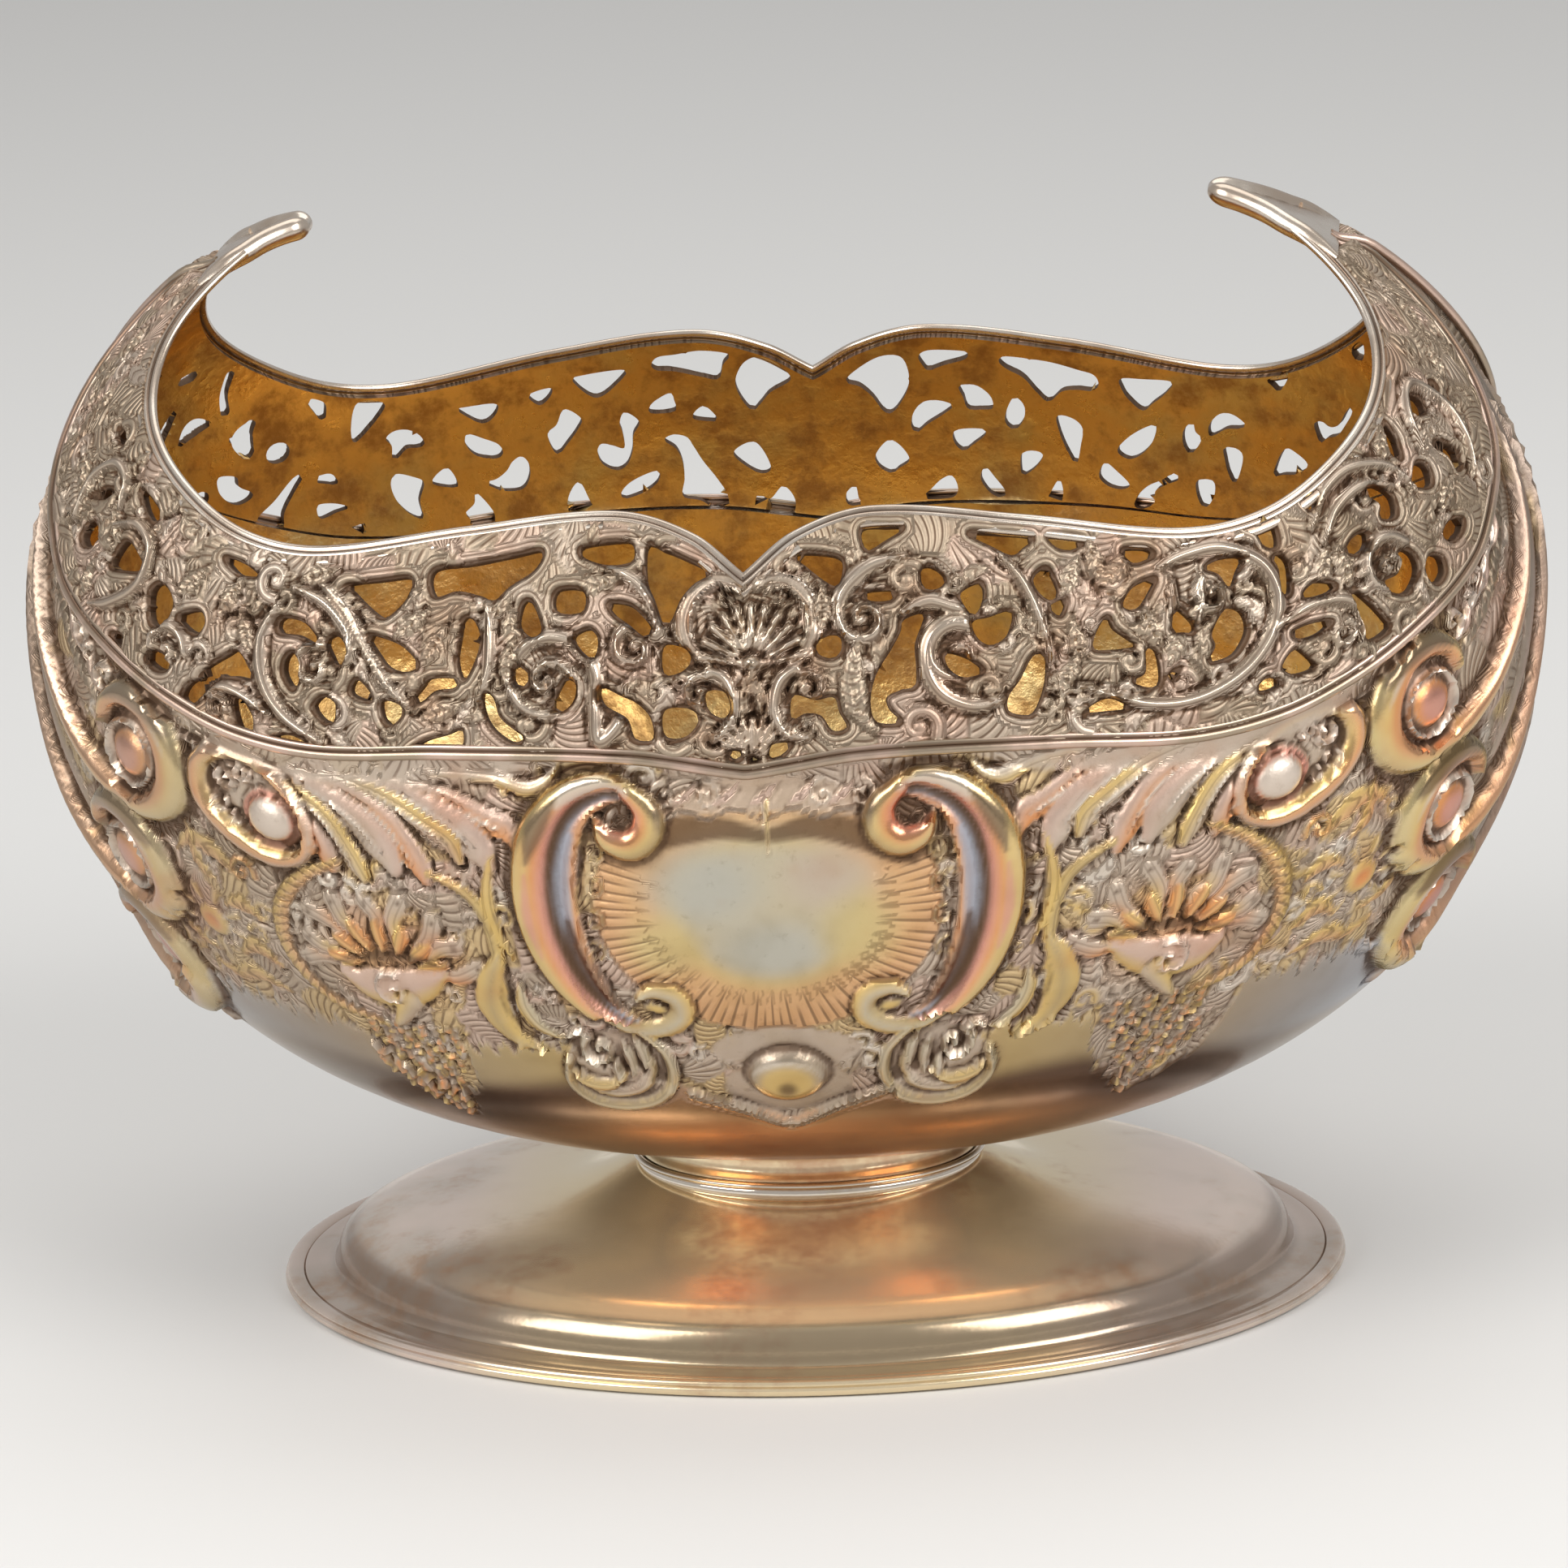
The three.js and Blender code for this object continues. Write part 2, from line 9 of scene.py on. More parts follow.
import logging
import math
import sys
from dataclasses import dataclass, field
from enum import Enum
from typing import Sequence

import bpy
import numpy as np
from mathutils import Matrix

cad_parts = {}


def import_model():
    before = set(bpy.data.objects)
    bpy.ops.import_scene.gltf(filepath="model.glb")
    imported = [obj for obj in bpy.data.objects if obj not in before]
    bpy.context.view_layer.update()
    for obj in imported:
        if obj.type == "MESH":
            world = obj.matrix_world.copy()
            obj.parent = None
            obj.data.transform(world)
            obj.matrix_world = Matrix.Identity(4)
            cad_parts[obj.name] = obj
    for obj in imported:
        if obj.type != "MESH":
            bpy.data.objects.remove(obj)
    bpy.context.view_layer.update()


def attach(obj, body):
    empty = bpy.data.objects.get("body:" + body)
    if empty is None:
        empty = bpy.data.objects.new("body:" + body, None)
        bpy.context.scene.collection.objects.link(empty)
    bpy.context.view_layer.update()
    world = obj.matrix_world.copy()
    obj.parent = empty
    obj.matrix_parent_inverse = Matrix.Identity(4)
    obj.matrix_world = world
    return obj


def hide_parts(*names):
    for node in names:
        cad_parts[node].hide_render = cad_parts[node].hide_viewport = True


LOG = logging.getLogger("bonbon_dish")
MM = 0.001
WIRE_CREASE = 60
Array = np.ndarray
Points = Sequence[float]


class Side(Enum):
    """A long side of the dish, by the sign of its Y."""

    FRONT = -1
    BACK = 1


class Profile(Enum):
    """The cross section of a chased or embossed stroke."""

    ROUND = "round"
    CHANNEL = "channel"
    LEAF = "leaf"
    BAND = "band"
    ROPE = "rope"


class Tint(Enum):
    """The colours of the silver, as they look on the dish, from 0 to 255: its tarnish, and the tones laid on as painted
    shade, dark reflections and highlights.
    """

    BEIGE = (196, 179, 162)
    ROSE = (206, 178, 162)
    ORANGE = (224, 154, 96)
    YELLOW = (218, 186, 118)
    PINK = (214, 150, 132)
    STEEL = (164, 170, 182)
    CREAM = (198, 186, 160)
    PALE = (216, 204, 190)
    COPPER = (208, 168, 136)
    UMBER = (98, 76, 60)
    GREY = (168, 151, 131)
    OLIVE = (188, 164, 118)
    GILT = (224, 184, 116)
    BRONZE = (156, 116, 72)
    PEACH = (222, 176, 132)
    FOOT_SIDE = (246, 226, 212)
    FOOT_MIDDLE = (252, 232, 192)
    MIST = (184, 182, 172)
    STRAW = (208, 188, 136)
    CHROME = (226, 216, 202)

    def linear(self) -> Array:
        """The colour as scene-linear values."""
        return np.power(np.array(self.value) / 255, 2.2)


# Short names, in the order of the class, for the many strokes below.
(BEIGE, ROSE, ORANGE, YELLOW, PINK, STEEL, CREAM, PALE, COPPER, UMBER, GREY, OLIVE, GILT, BRONZE, PEACH,
 FOOT_SIDE, FOOT_MIDDLE, MIST, STRAW, CHROME) = Tint
Tints = Sequence[Tint] | None


def smooth(value: Array) -> Array:
    """Eases values from 0 to 1 with flat ends."""
    x = np.clip(value, 0, 1)
    return x * x * (3 - 2 * x)


def shaded(tints: Sequence[Tint], share: Array) -> Array:
    """Colours that run through the given tints as the share goes from 0 to 1."""
    stops = np.linspace(0, 1, len(tints)) if len(tints) > 1 else np.zeros(1)
    colours = np.array([tint.linear() for tint in tints])
    return np.stack([np.interp(share, stops, colours[:, k]) for k in range(3)], axis=-1)


def curve_through(points: Array, step: float, closed: bool = False) -> Array:
    """Draws a smooth curve through points.

    Args:
        points: One row per point; the first two columns are the place, the others ride along.
        step: The spacing of the result, in the units of the place.
        closed: Whether the last point joins the first.

    Returns:
        The points of the curve.
    """
    padded = np.vstack([points[-1:], points, points[:2]] if closed else [points[:1], points, points[-1:]])
    parts = []
    for a, b, c, d in zip(padded[:-3], padded[1:-2], padded[2:-1], padded[3:]):
        count = max(2, int(math.ceil(np.hypot(*(c - b)[:2]) / step)))
        x = (np.arange(count) / count)[:, None]
        parts.append(
            0.5 * (2 * b + (c - a) * x + (2 * a - 5 * b + 4 * c - d) * x**2 + (3 * b - a - 3 * c + d) * x**3)
        )
    if not closed:
        parts.append(points[-1:])
    return np.vstack(parts)


@dataclass
class BowlForm:
    """The bowl's outer skin: an oval that swells to the belly and draws in again to the rim.

    Every length is in millimetres, and heights count from the table.
    """

    half_length: float = 79.9
    half_width: float = 51.8
    bottom: float = 17.0
    height: float = 100.9
    belly_ends: float = 74.6
    belly_sides: float = 61.6
    crown_ends: float = 123.6
    crown_sides: float = 118.1
    oval_power: float = 2.1
    belly_power: float = 2.7
    crown_power: float = 2.0
    chart_level: float = 78.0
    shoulder_line: Points = (
        0, .944, 5.5, .902, 10.5, .808, 15.4, .741, 20.8, .692, 26, .649, 36, .597,
        43, .565, 50, .541, 58, .531, 69, .539, 82.2, .539, 90, .523,
    )
    rim_line: Points = (
        0, 1, 8, .987, 13.5, .949, 20.8, .88, 30, .813, 40, .76,
        49, .724, 57, .716, 70, .741, 81, .756, 86.5, .736, 90, .697,
    )
    back_rim_drop: float = 1.4
    tuck_height: float = -0.8
    tuck_reach: float = 1.8
    angle_samples: int = 4001
    height_samples: int = 20001
    _angles: Array = field(init=False, repr=False)
    _reaches: Array = field(init=False, repr=False)
    _heights: Array = field(init=False, repr=False)
    _climbs: Array = field(init=False, repr=False)

    def __post_init__(self) -> None:
        """Measures the chart: angle against s, and height against t."""
        self._angles = np.linspace(0, math.pi / 2, self.angle_samples)
        ring = self._skin(self._angles, np.full(self.angle_samples, self.chart_level))
        run = np.concatenate([[0], np.cumsum(np.linalg.norm(np.diff(ring, axis=0), axis=1))])
        self._reaches = run[-1] - run
        self._heights = np.linspace(self.bottom, self.crown_sides - 0.05, self.height_samples)
        width = self._spans(self._heights)[1]
        climb = np.concatenate([[0], np.cumsum(np.hypot(np.diff(self._heights), np.diff(width)))])
        self._climbs = climb - np.interp(self.belly_sides, self._heights, climb) + self.belly_sides

    @property
    def end(self) -> float:
        """The value of s at the tip of an end."""
        return float(self._reaches[0])

    @property
    def pole(self) -> float:
        """The value of t in the middle of the underside."""
        return float(self._climbs[0])

    def _spans(self, z: Array) -> tuple[Array, Array]:
        """Half the length and half the width at heights z."""
        spans = []
        for reach, belly, crown, power in (
            (self.half_length, self.belly_ends, self.crown_ends, self.belly_power),
            (self.half_width, self.belly_sides, self.crown_sides, self.crown_power),
        ):
            low = np.clip(1 - ((belly - z) / (belly - self.bottom)) ** 2, 0, 1) ** (1 / self.belly_power)
            high = np.clip(1 - ((z - belly) / (crown - belly)) ** 2, 0, 1) ** (1 / power)
            spans.append(reach * np.where(z < belly, low, high))
        return spans[0], spans[1]

    def _skin(self, angle: Array, z: Array) -> Array:
        """Points of the back skin at angles from the long axis and heights."""
        length, width = self._spans(z)
        cos, sin = np.cos(angle), np.sin(angle)
        power = 2 / self.oval_power
        x = length * np.sign(cos) * np.abs(cos) ** power
        return np.stack([x, width * np.abs(sin) ** power, z], axis=-1)

    def angle_at(self, s: Array) -> Array:
        """The angle from the long axis, in radians, at chart places s."""
        folded = np.interp(np.abs(s), self._reaches[::-1], self._angles[::-1])
        return np.where(np.asarray(s) >= 0, folded, math.pi - folded)

    def s_at(self, angle: float) -> float:
        """The chart place at an angle in degrees from the +X end."""
        return float(np.interp(math.radians(angle), self._angles, self._reaches))

    def t_at(self, z: Array) -> Array:
        """The chart height t at heights above the table."""
        return np.interp(z, self._heights, self._climbs)

    def _line(self, knots: Points, s: Array) -> Array:
        """The chart height of a line round the bowl at places s."""
        x, y = np.reshape(knots, (-1, 2)).T
        angle = np.degrees(self.angle_at(s))
        folded = np.minimum(angle, 180 - angle)
        slope = np.concatenate([[0], (y[2:] - y[:-2]) / (x[2:] - x[:-2]), [(y[-1] - y[-2]) / (x[-1] - x[-2])]])
        i = np.clip(np.searchsorted(x, folded, side="right") - 1, 0, len(x) - 2)
        span = x[i + 1] - x[i]
        f = np.clip((folded - x[i]) / span, 0, 1)
        share = (
            (1 + 2 * f) * (1 - f) ** 2 * y[i] + f * (1 - f) ** 2 * span * slope[i]
            + f * f * (3 - 2 * f) * y[i + 1] + f * f * (f - 1) * span * slope[i + 1]
        )
        return self.t_at(self.bottom + self.height * share)

    def shoulder(self, s: Array) -> Array:
        """The chart height of the shoulder line."""
        return self._line(self.shoulder_line, s)

    def rim(self, s: Array, side: Side) -> Array:
        """The chart height of the rim line; the back one lies a little lower in the middle."""
        line = self._line(self.rim_line, s)
        if side is Side.BACK:
            line -= self.back_rim_drop * smooth((84 - np.abs(s)) / 34) * smooth(0.45 + np.abs(s) / 12)
        return line

    def tuck(self, relief: Relief, level: float) -> None:
        """Sinks a relief above a level, so that its edge runs under the horn."""
        share = smooth((relief.t - self.t_at(level)) / self.tuck_reach)
        relief.height += (self.tuck_height - relief.height) * share

    def place(self, s: Array, t: Array, side: Side) -> Array:
        """Points of the skin.

        Args:
            s: Places round the bowl, positive towards the right as the side is looked at.
            t: Places up the side.
            side: The long side.

        Returns:
            One point per place.
        """
        point = self._skin(self.angle_at(s), np.interp(t, self._climbs, self._heights))
        point[..., 1] *= side.value
        point[..., 0] *= -side.value
        return point

    def normal(self, s: Array, t: Array, side: Side) -> Array:
        """Outward directions at the places that place() takes."""
        hop = 0.06
        around = self.place(s + hop, t, side) - self.place(s - hop, t, side)
        around[np.abs(s) > self.end - hop] = (0, 1, 0)
        up = self.place(s, t + hop, side) - self.place(s, t - hop, side)
        out = np.cross(around, up)
        length = np.linalg.norm(out, axis=-1, keepdims=True)
        out /= np.maximum(length, 1e-12)
        out[t < self.pole + 2 * hop] = (0, 0, -1)
        inward = np.sum(out * (self.place(s, t, side) - np.array([0, 0, self.belly_sides])), axis=-1) < 0
        out[inward] *= -1
        return out


@dataclass
class Relief:
    """A relief drawn on the chart: heights above the skin and colours, one per grid point; the colours are tarnish
    together with painted shade and highlights.
    """

    s: Array
    t: Array
    height: Array
    tint: Array
    base: Array
    matte: Array
    line: Array
    lined: Array
    axis: float = 0.0
    hand: int = 1
    left_drop: float = 0.0
    chase_depth: float = 0.16
    chase_width: float = 0.45
    reeding: float = 0.0
    reed_pitch: float = 0.75
    reeded_below: float = 1.45
    paint_share: float = 0.8
    raised_share: float = 0.92

    @classmethod
    def plain(cls, s: Array, t: Array, tint: Tint) -> Relief:
        """An even ground of one colour on a grid of chart places."""
        colour = np.broadcast_to(tint.linear(), s.shape + (3,)).copy()
        return cls(s, t, np.zeros_like(s), colour, *(np.zeros_like(s) for _ in range(4)))

    def _put(self, points: Array) -> Array:
        """Points moved to the hand that is being drawn; the left hand lies a little lower."""
        out = points.copy()
        out[:, 0] = self.axis + self.hand * (points[:, 0] - self.axis)
        if self.hand < 0:
            out[:, 1] -= self.left_drop * smooth((points[:, 0] - 20) / 20)
        return out

    @staticmethod
    def _slope(height: float) -> float:
        """The width over which the edge of a shape of this height rises."""
        return 0.28 + 0.3 * max(height - 0.8, 0)

    def _near(self, low: Array, high: Array) -> tuple[Array, Array, Array]:
        """The grid points in a box of the chart, as flat indices and their places."""
        flat_s, flat_t = self.s.ravel(), self.t.ravel()
        inside = (flat_s > low[0]) & (flat_s < high[0]) & (flat_t > low[1]) & (flat_t < high[1])
        index = np.flatnonzero(inside)
        return index, flat_s[index], flat_t[index]

    def _lay(
        self, index: Array, cover: Array, rise: Array | None, outside: Array, tint: Array | None, on: bool,
        line: Array | float = 0.0, lined: float = 0.0,
    ) -> None:
        """Lays a shape over what lies there, with a chased line round it.

        Args:
            index: The grid points that it may reach.
            cover: How far it covers each of them, from 0 to 1.
            rise: Its height over the ground, or None to lay on colour only.
            outside: How far each point is outside it.
            tint: Its colours.
            on: Whether it stands on what lies there instead of on the ground.
            line: The count of fine lines up to each point; a line lies at each whole number.
            lined: How strong the fine lines are.
        """
        height, colour = self.height.reshape(-1), self.tint.reshape(-1, 3)
        if rise is not None:
            groove = smooth(1 - np.abs(outside - self.chase_width * 0.4) / (self.chase_width * 0.6))
            under = height[index] if on else self.base.reshape(-1)[index]
            height[index] += (under + rise - height[index]) * cover - self.chase_depth * groove * (1 - cover)
            matte = self.matte.reshape(-1)
            matte[index] += (np.interp(rise, [0.3, 0.9, 1.5], [0.75, 0.5, 0.1]) - matte[index]) * cover
            lines, strength = self.line.reshape(-1), self.lined.reshape(-1)
            lines[index] = np.where(cover > 0.4, line, lines[index])
            strength[index] += (lined - strength[index]) * cover
        if tint is not None:
            share = self.paint_share if rise is None else self.raised_share
            colour[index] += (tint - colour[index]) * (cover * share)[:, None]

    def stroke(
        self, points: Points, height: float | None, tint: Tints = None, profile: Profile = Profile.ROUND,
        lobes: float = 0, closed: bool = False, lean: int = 1, tip: Tint | None = None, on: bool = False,
    ) -> None:
        """Draws one embossed stroke.

        Args:
            points: s, t and half width of each point, one after the other.
            height: The height of its highest line over the ground, or None to lay on colour only.
            tint: Its colours from the left to the right of the way ahead.
            profile: Its cross section; the high ridge of a channel is on the left of the way ahead.
            lobes: How many veins or turns of rope it has.
            closed: Whether its end joins its beginning.
            lean: -1 swaps left and right in its cross section and colours.
            tip: The colour that it fades to at its end.
            on: Whether it stands on what lies there instead of on the ground.
        """
        line = curve_through(self._put(np.reshape(points, (-1, 3)).astype(float)), 0.3, closed)
        widest = line[:, 2].max() + self.chase_width + 0.1
        index, s, t = self._near(line[:, :2].min(0) - widest, line[:, :2].max(0) + widest)
        if not len(index):
            return
        gap = (s[:, None] - line[None, :, 0]) ** 2 + (t[:, None] - line[None, :, 1]) ** 2
        nearest = np.argmin(gap, axis=1)
        distance = np.sqrt(gap[np.arange(len(index)), nearest])
        width = np.maximum(line[nearest, 2], 0.12)
        ahead = np.gradient(line[:, :2], axis=0)[nearest]
        ahead /= np.maximum(np.linalg.norm(ahead, axis=1, keepdims=True), 1e-9)
        across = ahead[:, 0] * (t - line[nearest, 1]) - ahead[:, 1] * (s - line[nearest, 0])
        along = nearest / max(len(line) - 1, 1)
        q, u = np.minimum(distance / width, 1), np.clip(across / width, -1, 1) * self.hand * lean
        rise = None if height is None else height * section(profile, q, u, along, lobes)
        cover = smooth((width - distance) / (0.7 if height is None else self._slope(height)))
        colour = None if tint is None else shaded(tint, smooth(0.5 - 0.55 * u))
        if tip is not None and colour is not None:
            colour += (tip.linear() - colour) * smooth(along * 1.6 - 0.5)[:, None]
        if profile is Profile.LEAF:
            lines, lined = lobes * along + 0.8 * np.abs(u), 0.8
        elif profile is Profile.ROPE:
            lines, lined = lobes * along - 0.5 * u, 0.9
        else:
            lines = 0.5 + u * width / self.reed_pitch
            lined = self.reeding if line[:, 2].max() < self.reeded_below else 0.0
        self._lay(index, cover, rise, distance - width, colour, on, lines, lined)

    def paint(self, tint: Tint, points: Points) -> None:
        """Lays one colour along the points of a stroke."""
        self.stroke(points, None, (tint,))

    def boss(
        self, centre: Points, radii: Points, height: float | None, tilt: float = 0, tint: Tints = None,
        dimple: float = 0, on: bool = False,
    ) -> None:
        """Raises one oval boss.

        Args:
            centre: Its place.
            radii: Its half sizes.
            height: Its height over the ground, or None to lay on colour only.
            tilt: Its turn, in degrees.
            tint: Its colours from the edge to the middle.
            dimple: The depth of the hollow in its top.
            on: Whether it stands on what lies there instead of on the ground.
        """
        place = self._put(np.array([centre], dtype=float))[0]
        reach = max(radii) + self.chase_width + 0.1
        index, s, t = self._near(place - reach, place + reach)
        if not len(index):
            return
        turn = math.radians(tilt) * self.hand
        x, y = s - place[0], t - place[1]
        long = (x * math.cos(turn) + y * math.sin(turn)) / radii[0]
        tall = (y * math.cos(turn) - x * math.sin(turn)) / radii[1]
        q = np.hypot(long, tall)
        rise = None
        if height is not None:
            rise = height * np.sqrt(np.clip(1 - q * q, 0, 1)) - dimple * np.exp(-((q / 0.42) ** 2))
        colour = None if tint is None else shaded(tint, smooth(1.3 - 1.5 * q))
        cover = smooth(1.3 * (1 - q) if height is None else (1 - q) * min(radii) / self._slope(height))
        self._lay(index, cover, rise, (q - 1) * min(radii), colour, on)

    def rays(self, centre: Points, radii: Points, first: float, angles: Points, count: int, strength: float) -> None:
        """Cuts fine grooves that run out to the edge of an oval, every other one shorter.

        Args:
            centre: The middle of the oval.
            radii: Its half sizes.
            first: The share of the way out at which the grooves start.
            angles: The first and the last angle, in degrees.
            count: How many there are.
            strength: How strong they are.
        """
        place = self._put(np.array([centre], dtype=float))[0]
        index, s, t = self._near(place - max(radii), place + max(radii))
        x, y = (s - place[0]) * self.hand / radii[0], (t - place[1]) / radii[1]
        q, angle = np.hypot(x, y), np.degrees(np.arctan2(y, x))
        turn, span = (angle - angles[0]) % 360, angles[1] - angles[0]
        phase = (turn + 1.1 * np.sin(turn / 9) + 0.7 * np.sin(turn / 3.7)) * count / span
        start = first + 0.14 * (np.round(phase) % 2)
        cover = smooth(turn / 6) * smooth((span - turn) / 6) * smooth((q - start) / 0.16) * (q < 1)
        lines, lined = self.line.reshape(-1), self.lined.reshape(-1)
        lines[index] = np.where(cover > 0, phase, lines[index])
        lined[index] = np.maximum(lined[index], cover * strength)

    def leafage(self, size: float, pitch: float, height: float, seed: int, tints: Sequence[Tint]) -> None:
        """Covers the ground with little ribbed leaves that lie side by side.

        Args:
            size: The size of a leaf.
            pitch: The distance between its ribs.
            height: How far its middle rises.
            seed: The seed of the places.
            tints: The colours that the leaves take in turn.
        """
        draw = np.random.default_rng(seed)
        grid = np.meshgrid(*(np.arange(values.min() - size, values.max() + size, size) for values in (self.s, self.t)))
        leaves = np.stack(grid, axis=-1).reshape(-1, 2)
        leaves += draw.uniform(-0.42, 0.42, leaves.shape) * size
        turn, swirl = draw.uniform(0, 2 * math.pi, len(leaves)), draw.uniform(-0.9, 0.9, len(leaves))
        stalks = leaves - 0.95 * size * np.stack([np.cos(turn), np.sin(turn)], axis=1)
        colours = np.array([tints[k].linear() for k in draw.integers(len(tints), size=len(leaves))])
        for row in range(len(self.s)):
            s, t = self.s[row], self.t[row]
            near = np.flatnonzero((leaves[:, 1] > t.min() - 2 * size) & (leaves[:, 1] < t.max() + 2 * size))
            gap = np.hypot(s[:, None] - leaves[near, 0], t[:, None] - leaves[near, 1])
            two = np.argpartition(gap, 1, axis=1)[:, :2]
            gap = np.take_along_axis(gap, two, axis=1)
            leaf = near[two[np.arange(len(s)), gap.argmin(axis=1)]]
            seam = np.clip(np.abs(gap[:, 1] - gap[:, 0]) / (0.45 * size), 0, 1)
            x, y = s - stalks[leaf, 0], t - stalks[leaf, 1]
            way = (np.arctan2(y, x) - turn[leaf] + math.pi) % (2 * math.pi) - math.pi
            way += swirl[leaf] * np.hypot(x, y) / size
            self.line[row] = way * 0.95 * size / pitch + 0.5
            self.lined[row] = smooth(seam * 2)
            self.height[row] += height * np.sqrt(1 - (1 - seam) ** 2)
            self.tint[row] += (colours[leaf] - self.tint[row]) * 0.5

    def coil(
        self, centre: Points, radius: float, start: float, sweep: float, width: float, height: float,
        tint: Tints = None, lead: Points = (), on: bool = False,
    ) -> None:
        """Draws a scroll that winds inwards to a round eye.

        Args:
            centre: The middle of the scroll.
            radius: The reach of its centre line where it starts to wind.
            start: The angle at which it starts to wind, in degrees.
            sweep: How far it winds, in degrees, counterclockwise if positive.
            width: Its half width at the start.
            height: Its height.
            tint: Its colours, from the outside in.
            lead: Points that come before the winding.
            on: Whether it stands on what lies there instead of on the ground; then it has no eye.
        """
        share = np.linspace(0, 1, max(6, int(abs(sweep) / 25)))
        angle = np.radians(start + sweep * share)
        reach = radius * (1 - 0.86 * share)
        half = width * (1 - 0.45 * share)
        wound = np.stack([centre[0] + reach * np.cos(angle), centre[1] + reach * np.sin(angle), half], axis=1)
        points = np.vstack([np.reshape(lead, (-1, 3)), wound])
        self.stroke(points.ravel(), height, tint, lean=-1 if sweep > 0 else 1, on=on)
        if not on:
            size = width * 0.72
            self.boss(centre, (size, size), height * 1.05, tint=None if tint is None else tint[:1])

    def fan(
        self, centre: Points, inner: Points, outer: Points, angles: Points, count: int, half_width: float,
        height: float, tint: Tints,
    ) -> None:
        """Draws rays, petals or flutes round a centre.

        Args:
            centre: The middle of the fan.
            inner: The half sizes of the oval on which the rays start.
            outer: The half sizes of the oval on which they end.
            angles: The first and the last angle, in degrees.
            count: How many rays there are.
            half_width: The half width of each.
            height: The height of each.
            tint: Their colours.
        """
        middle, near, wide = np.array(centre), np.array(inner), np.array(outer)
        for angle in np.radians(np.linspace(*angles, count)):
            way = np.array([math.cos(angle), math.sin(angle)])
            first = middle + near * way
            last = first + (wide - near) * way
            points = (*first, half_width * 0.4, *((first + last) / 2), half_width * 0.9, *last, half_width)
            self.stroke(points, height, tint)

    def scatter(
        self, count: int, seed: int, size: Points, height: float, lowest: Array, highest: Array, tints: Sequence[Tints]
    ) -> None:
        """Fills the ground with small chased leaves and curls.

        Args:
            count: How many there are.
            seed: The seed of their places.
            size: The least and the greatest length.
            height: Their height.
            lowest: The chart height below which none lies, one for each column of the grid.
            highest: The chart height above which none lies.
            tints: The colours that they take in turn.
        """
        draw = np.random.default_rng(seed)
        columns = self.s[0]
        for k in range(count):
            column = int(draw.integers(len(columns)))
            s, t = columns[column], draw.uniform(lowest[column], highest[column])
            length, turn, bend = draw.uniform(*size), draw.uniform(0, 2 * math.pi), draw.uniform(-1.6, 1.6)
            tint = tints[k % len(tints)]
            if draw.random() < 0.55:
                sweep = math.copysign(400, bend)
                self.coil((s, t), length * 0.38, math.degrees(turn), sweep, length * 0.16, height, tint)
                continue
            steps = np.linspace(-0.5, 0.5, 4)
            heading = turn + bend * steps
            x, y = s + length * steps * np.cos(heading), t + length * steps * np.sin(heading)
            half = length * np.array([0.08, 0.2, 0.18, 0.05])
            points = np.stack([x, y, half], axis=1).ravel()
            self.stroke(points, height * draw.uniform(0.7, 1.2), tint, Profile.LEAF, 3)


def section(profile: Profile, q: Array, u: Array, along: Array, lobes: float) -> Array:
    """The height of a stroke's cross section, from 0 to 1.

    Args:
        profile: The kind of cross section.
        q: The distance from the centre line, as a share of the half width.
        u: The same with a sign, positive on the left of the way ahead.
        along: The share of the way along the stroke.
        lobes: How many veins or turns of rope it has.

    Returns:
        The heights.
    """
    dome = np.sqrt(np.clip(1 - q * q, 0, 1))
    if profile is Profile.CHANNEL:
        across = [-1, -0.88, -0.76, -0.5, -0.2, -0.05, 0.1, 0.4, 0.75, 1]
        side = np.interp(u, across, [0.2, 0.6, 0.48, 0.3, 0.34, 0.6, 0.88, 1, 0.8, 0.2])
        return side * np.clip(dome * 1.7, 0, 1)
    if profile is Profile.LEAF:
        veins = 0.82 + 0.18 * np.cos(2 * math.pi * (lobes * along + 0.8 * np.abs(u)))
        return np.clip(dome * veins - 0.3 * np.exp(-((u / 0.16) ** 2)), 0, 1)
    if profile is Profile.BAND:
        return np.interp(q, [0, 0.3, 0.6, 0.8, 1], [0.6, 0.65, 1, 0.9, 0])
    if profile is Profile.ROPE:
        return dome * (0.76 + 0.24 * np.cos(2 * math.pi * (lobes * along - 0.5 * u)))
    return dome


def blurred(grid: Array, reach: int) -> Array:
    """A soft average of a grid over a window of the given reach in cells."""
    out = grid
    for axis in (0, 1, 0, 1):
        size = out.shape[axis]
        ends = [out.take([0] * (reach + 1), axis), out, out.take([size - 1] * reach, axis)]
        padded = np.concatenate(ends, axis)
        total = np.cumsum(padded, axis)
        ahead = total.take(np.arange(2 * reach + 1, 2 * reach + 1 + size), axis)
        out = (ahead - total.take(np.arange(size), axis)) / (2 * reach + 1)
    return out


def lowest_near(grid: Array, reach: int) -> Array:
    """The lowest value of a grid within the given reach in cells."""
    out = grid
    for axis in (0, 1):
        size = out.shape[axis]
        ends = [out.take([0] * reach, axis), out, out.take([size - 1] * reach, axis)]
        padded = np.concatenate(ends, axis)
        out = np.min([padded.take(np.arange(k, k + size), axis) for k in range(2 * reach + 1)], axis=0)
    return out


def clear_selection() -> None:
    """Leaves edit mode and deselects everything."""
    if bpy.context.object and bpy.context.object.mode != "OBJECT":
        bpy.ops.object.mode_set(mode="OBJECT")
    bpy.ops.object.select_all(action="DESELECT")


def pick(piece: bpy.types.Object) -> None:
    """Makes a piece the active one and the only one selected."""
    clear_selection()
    piece.select_set(True)
    bpy.context.view_layer.objects.active = piece


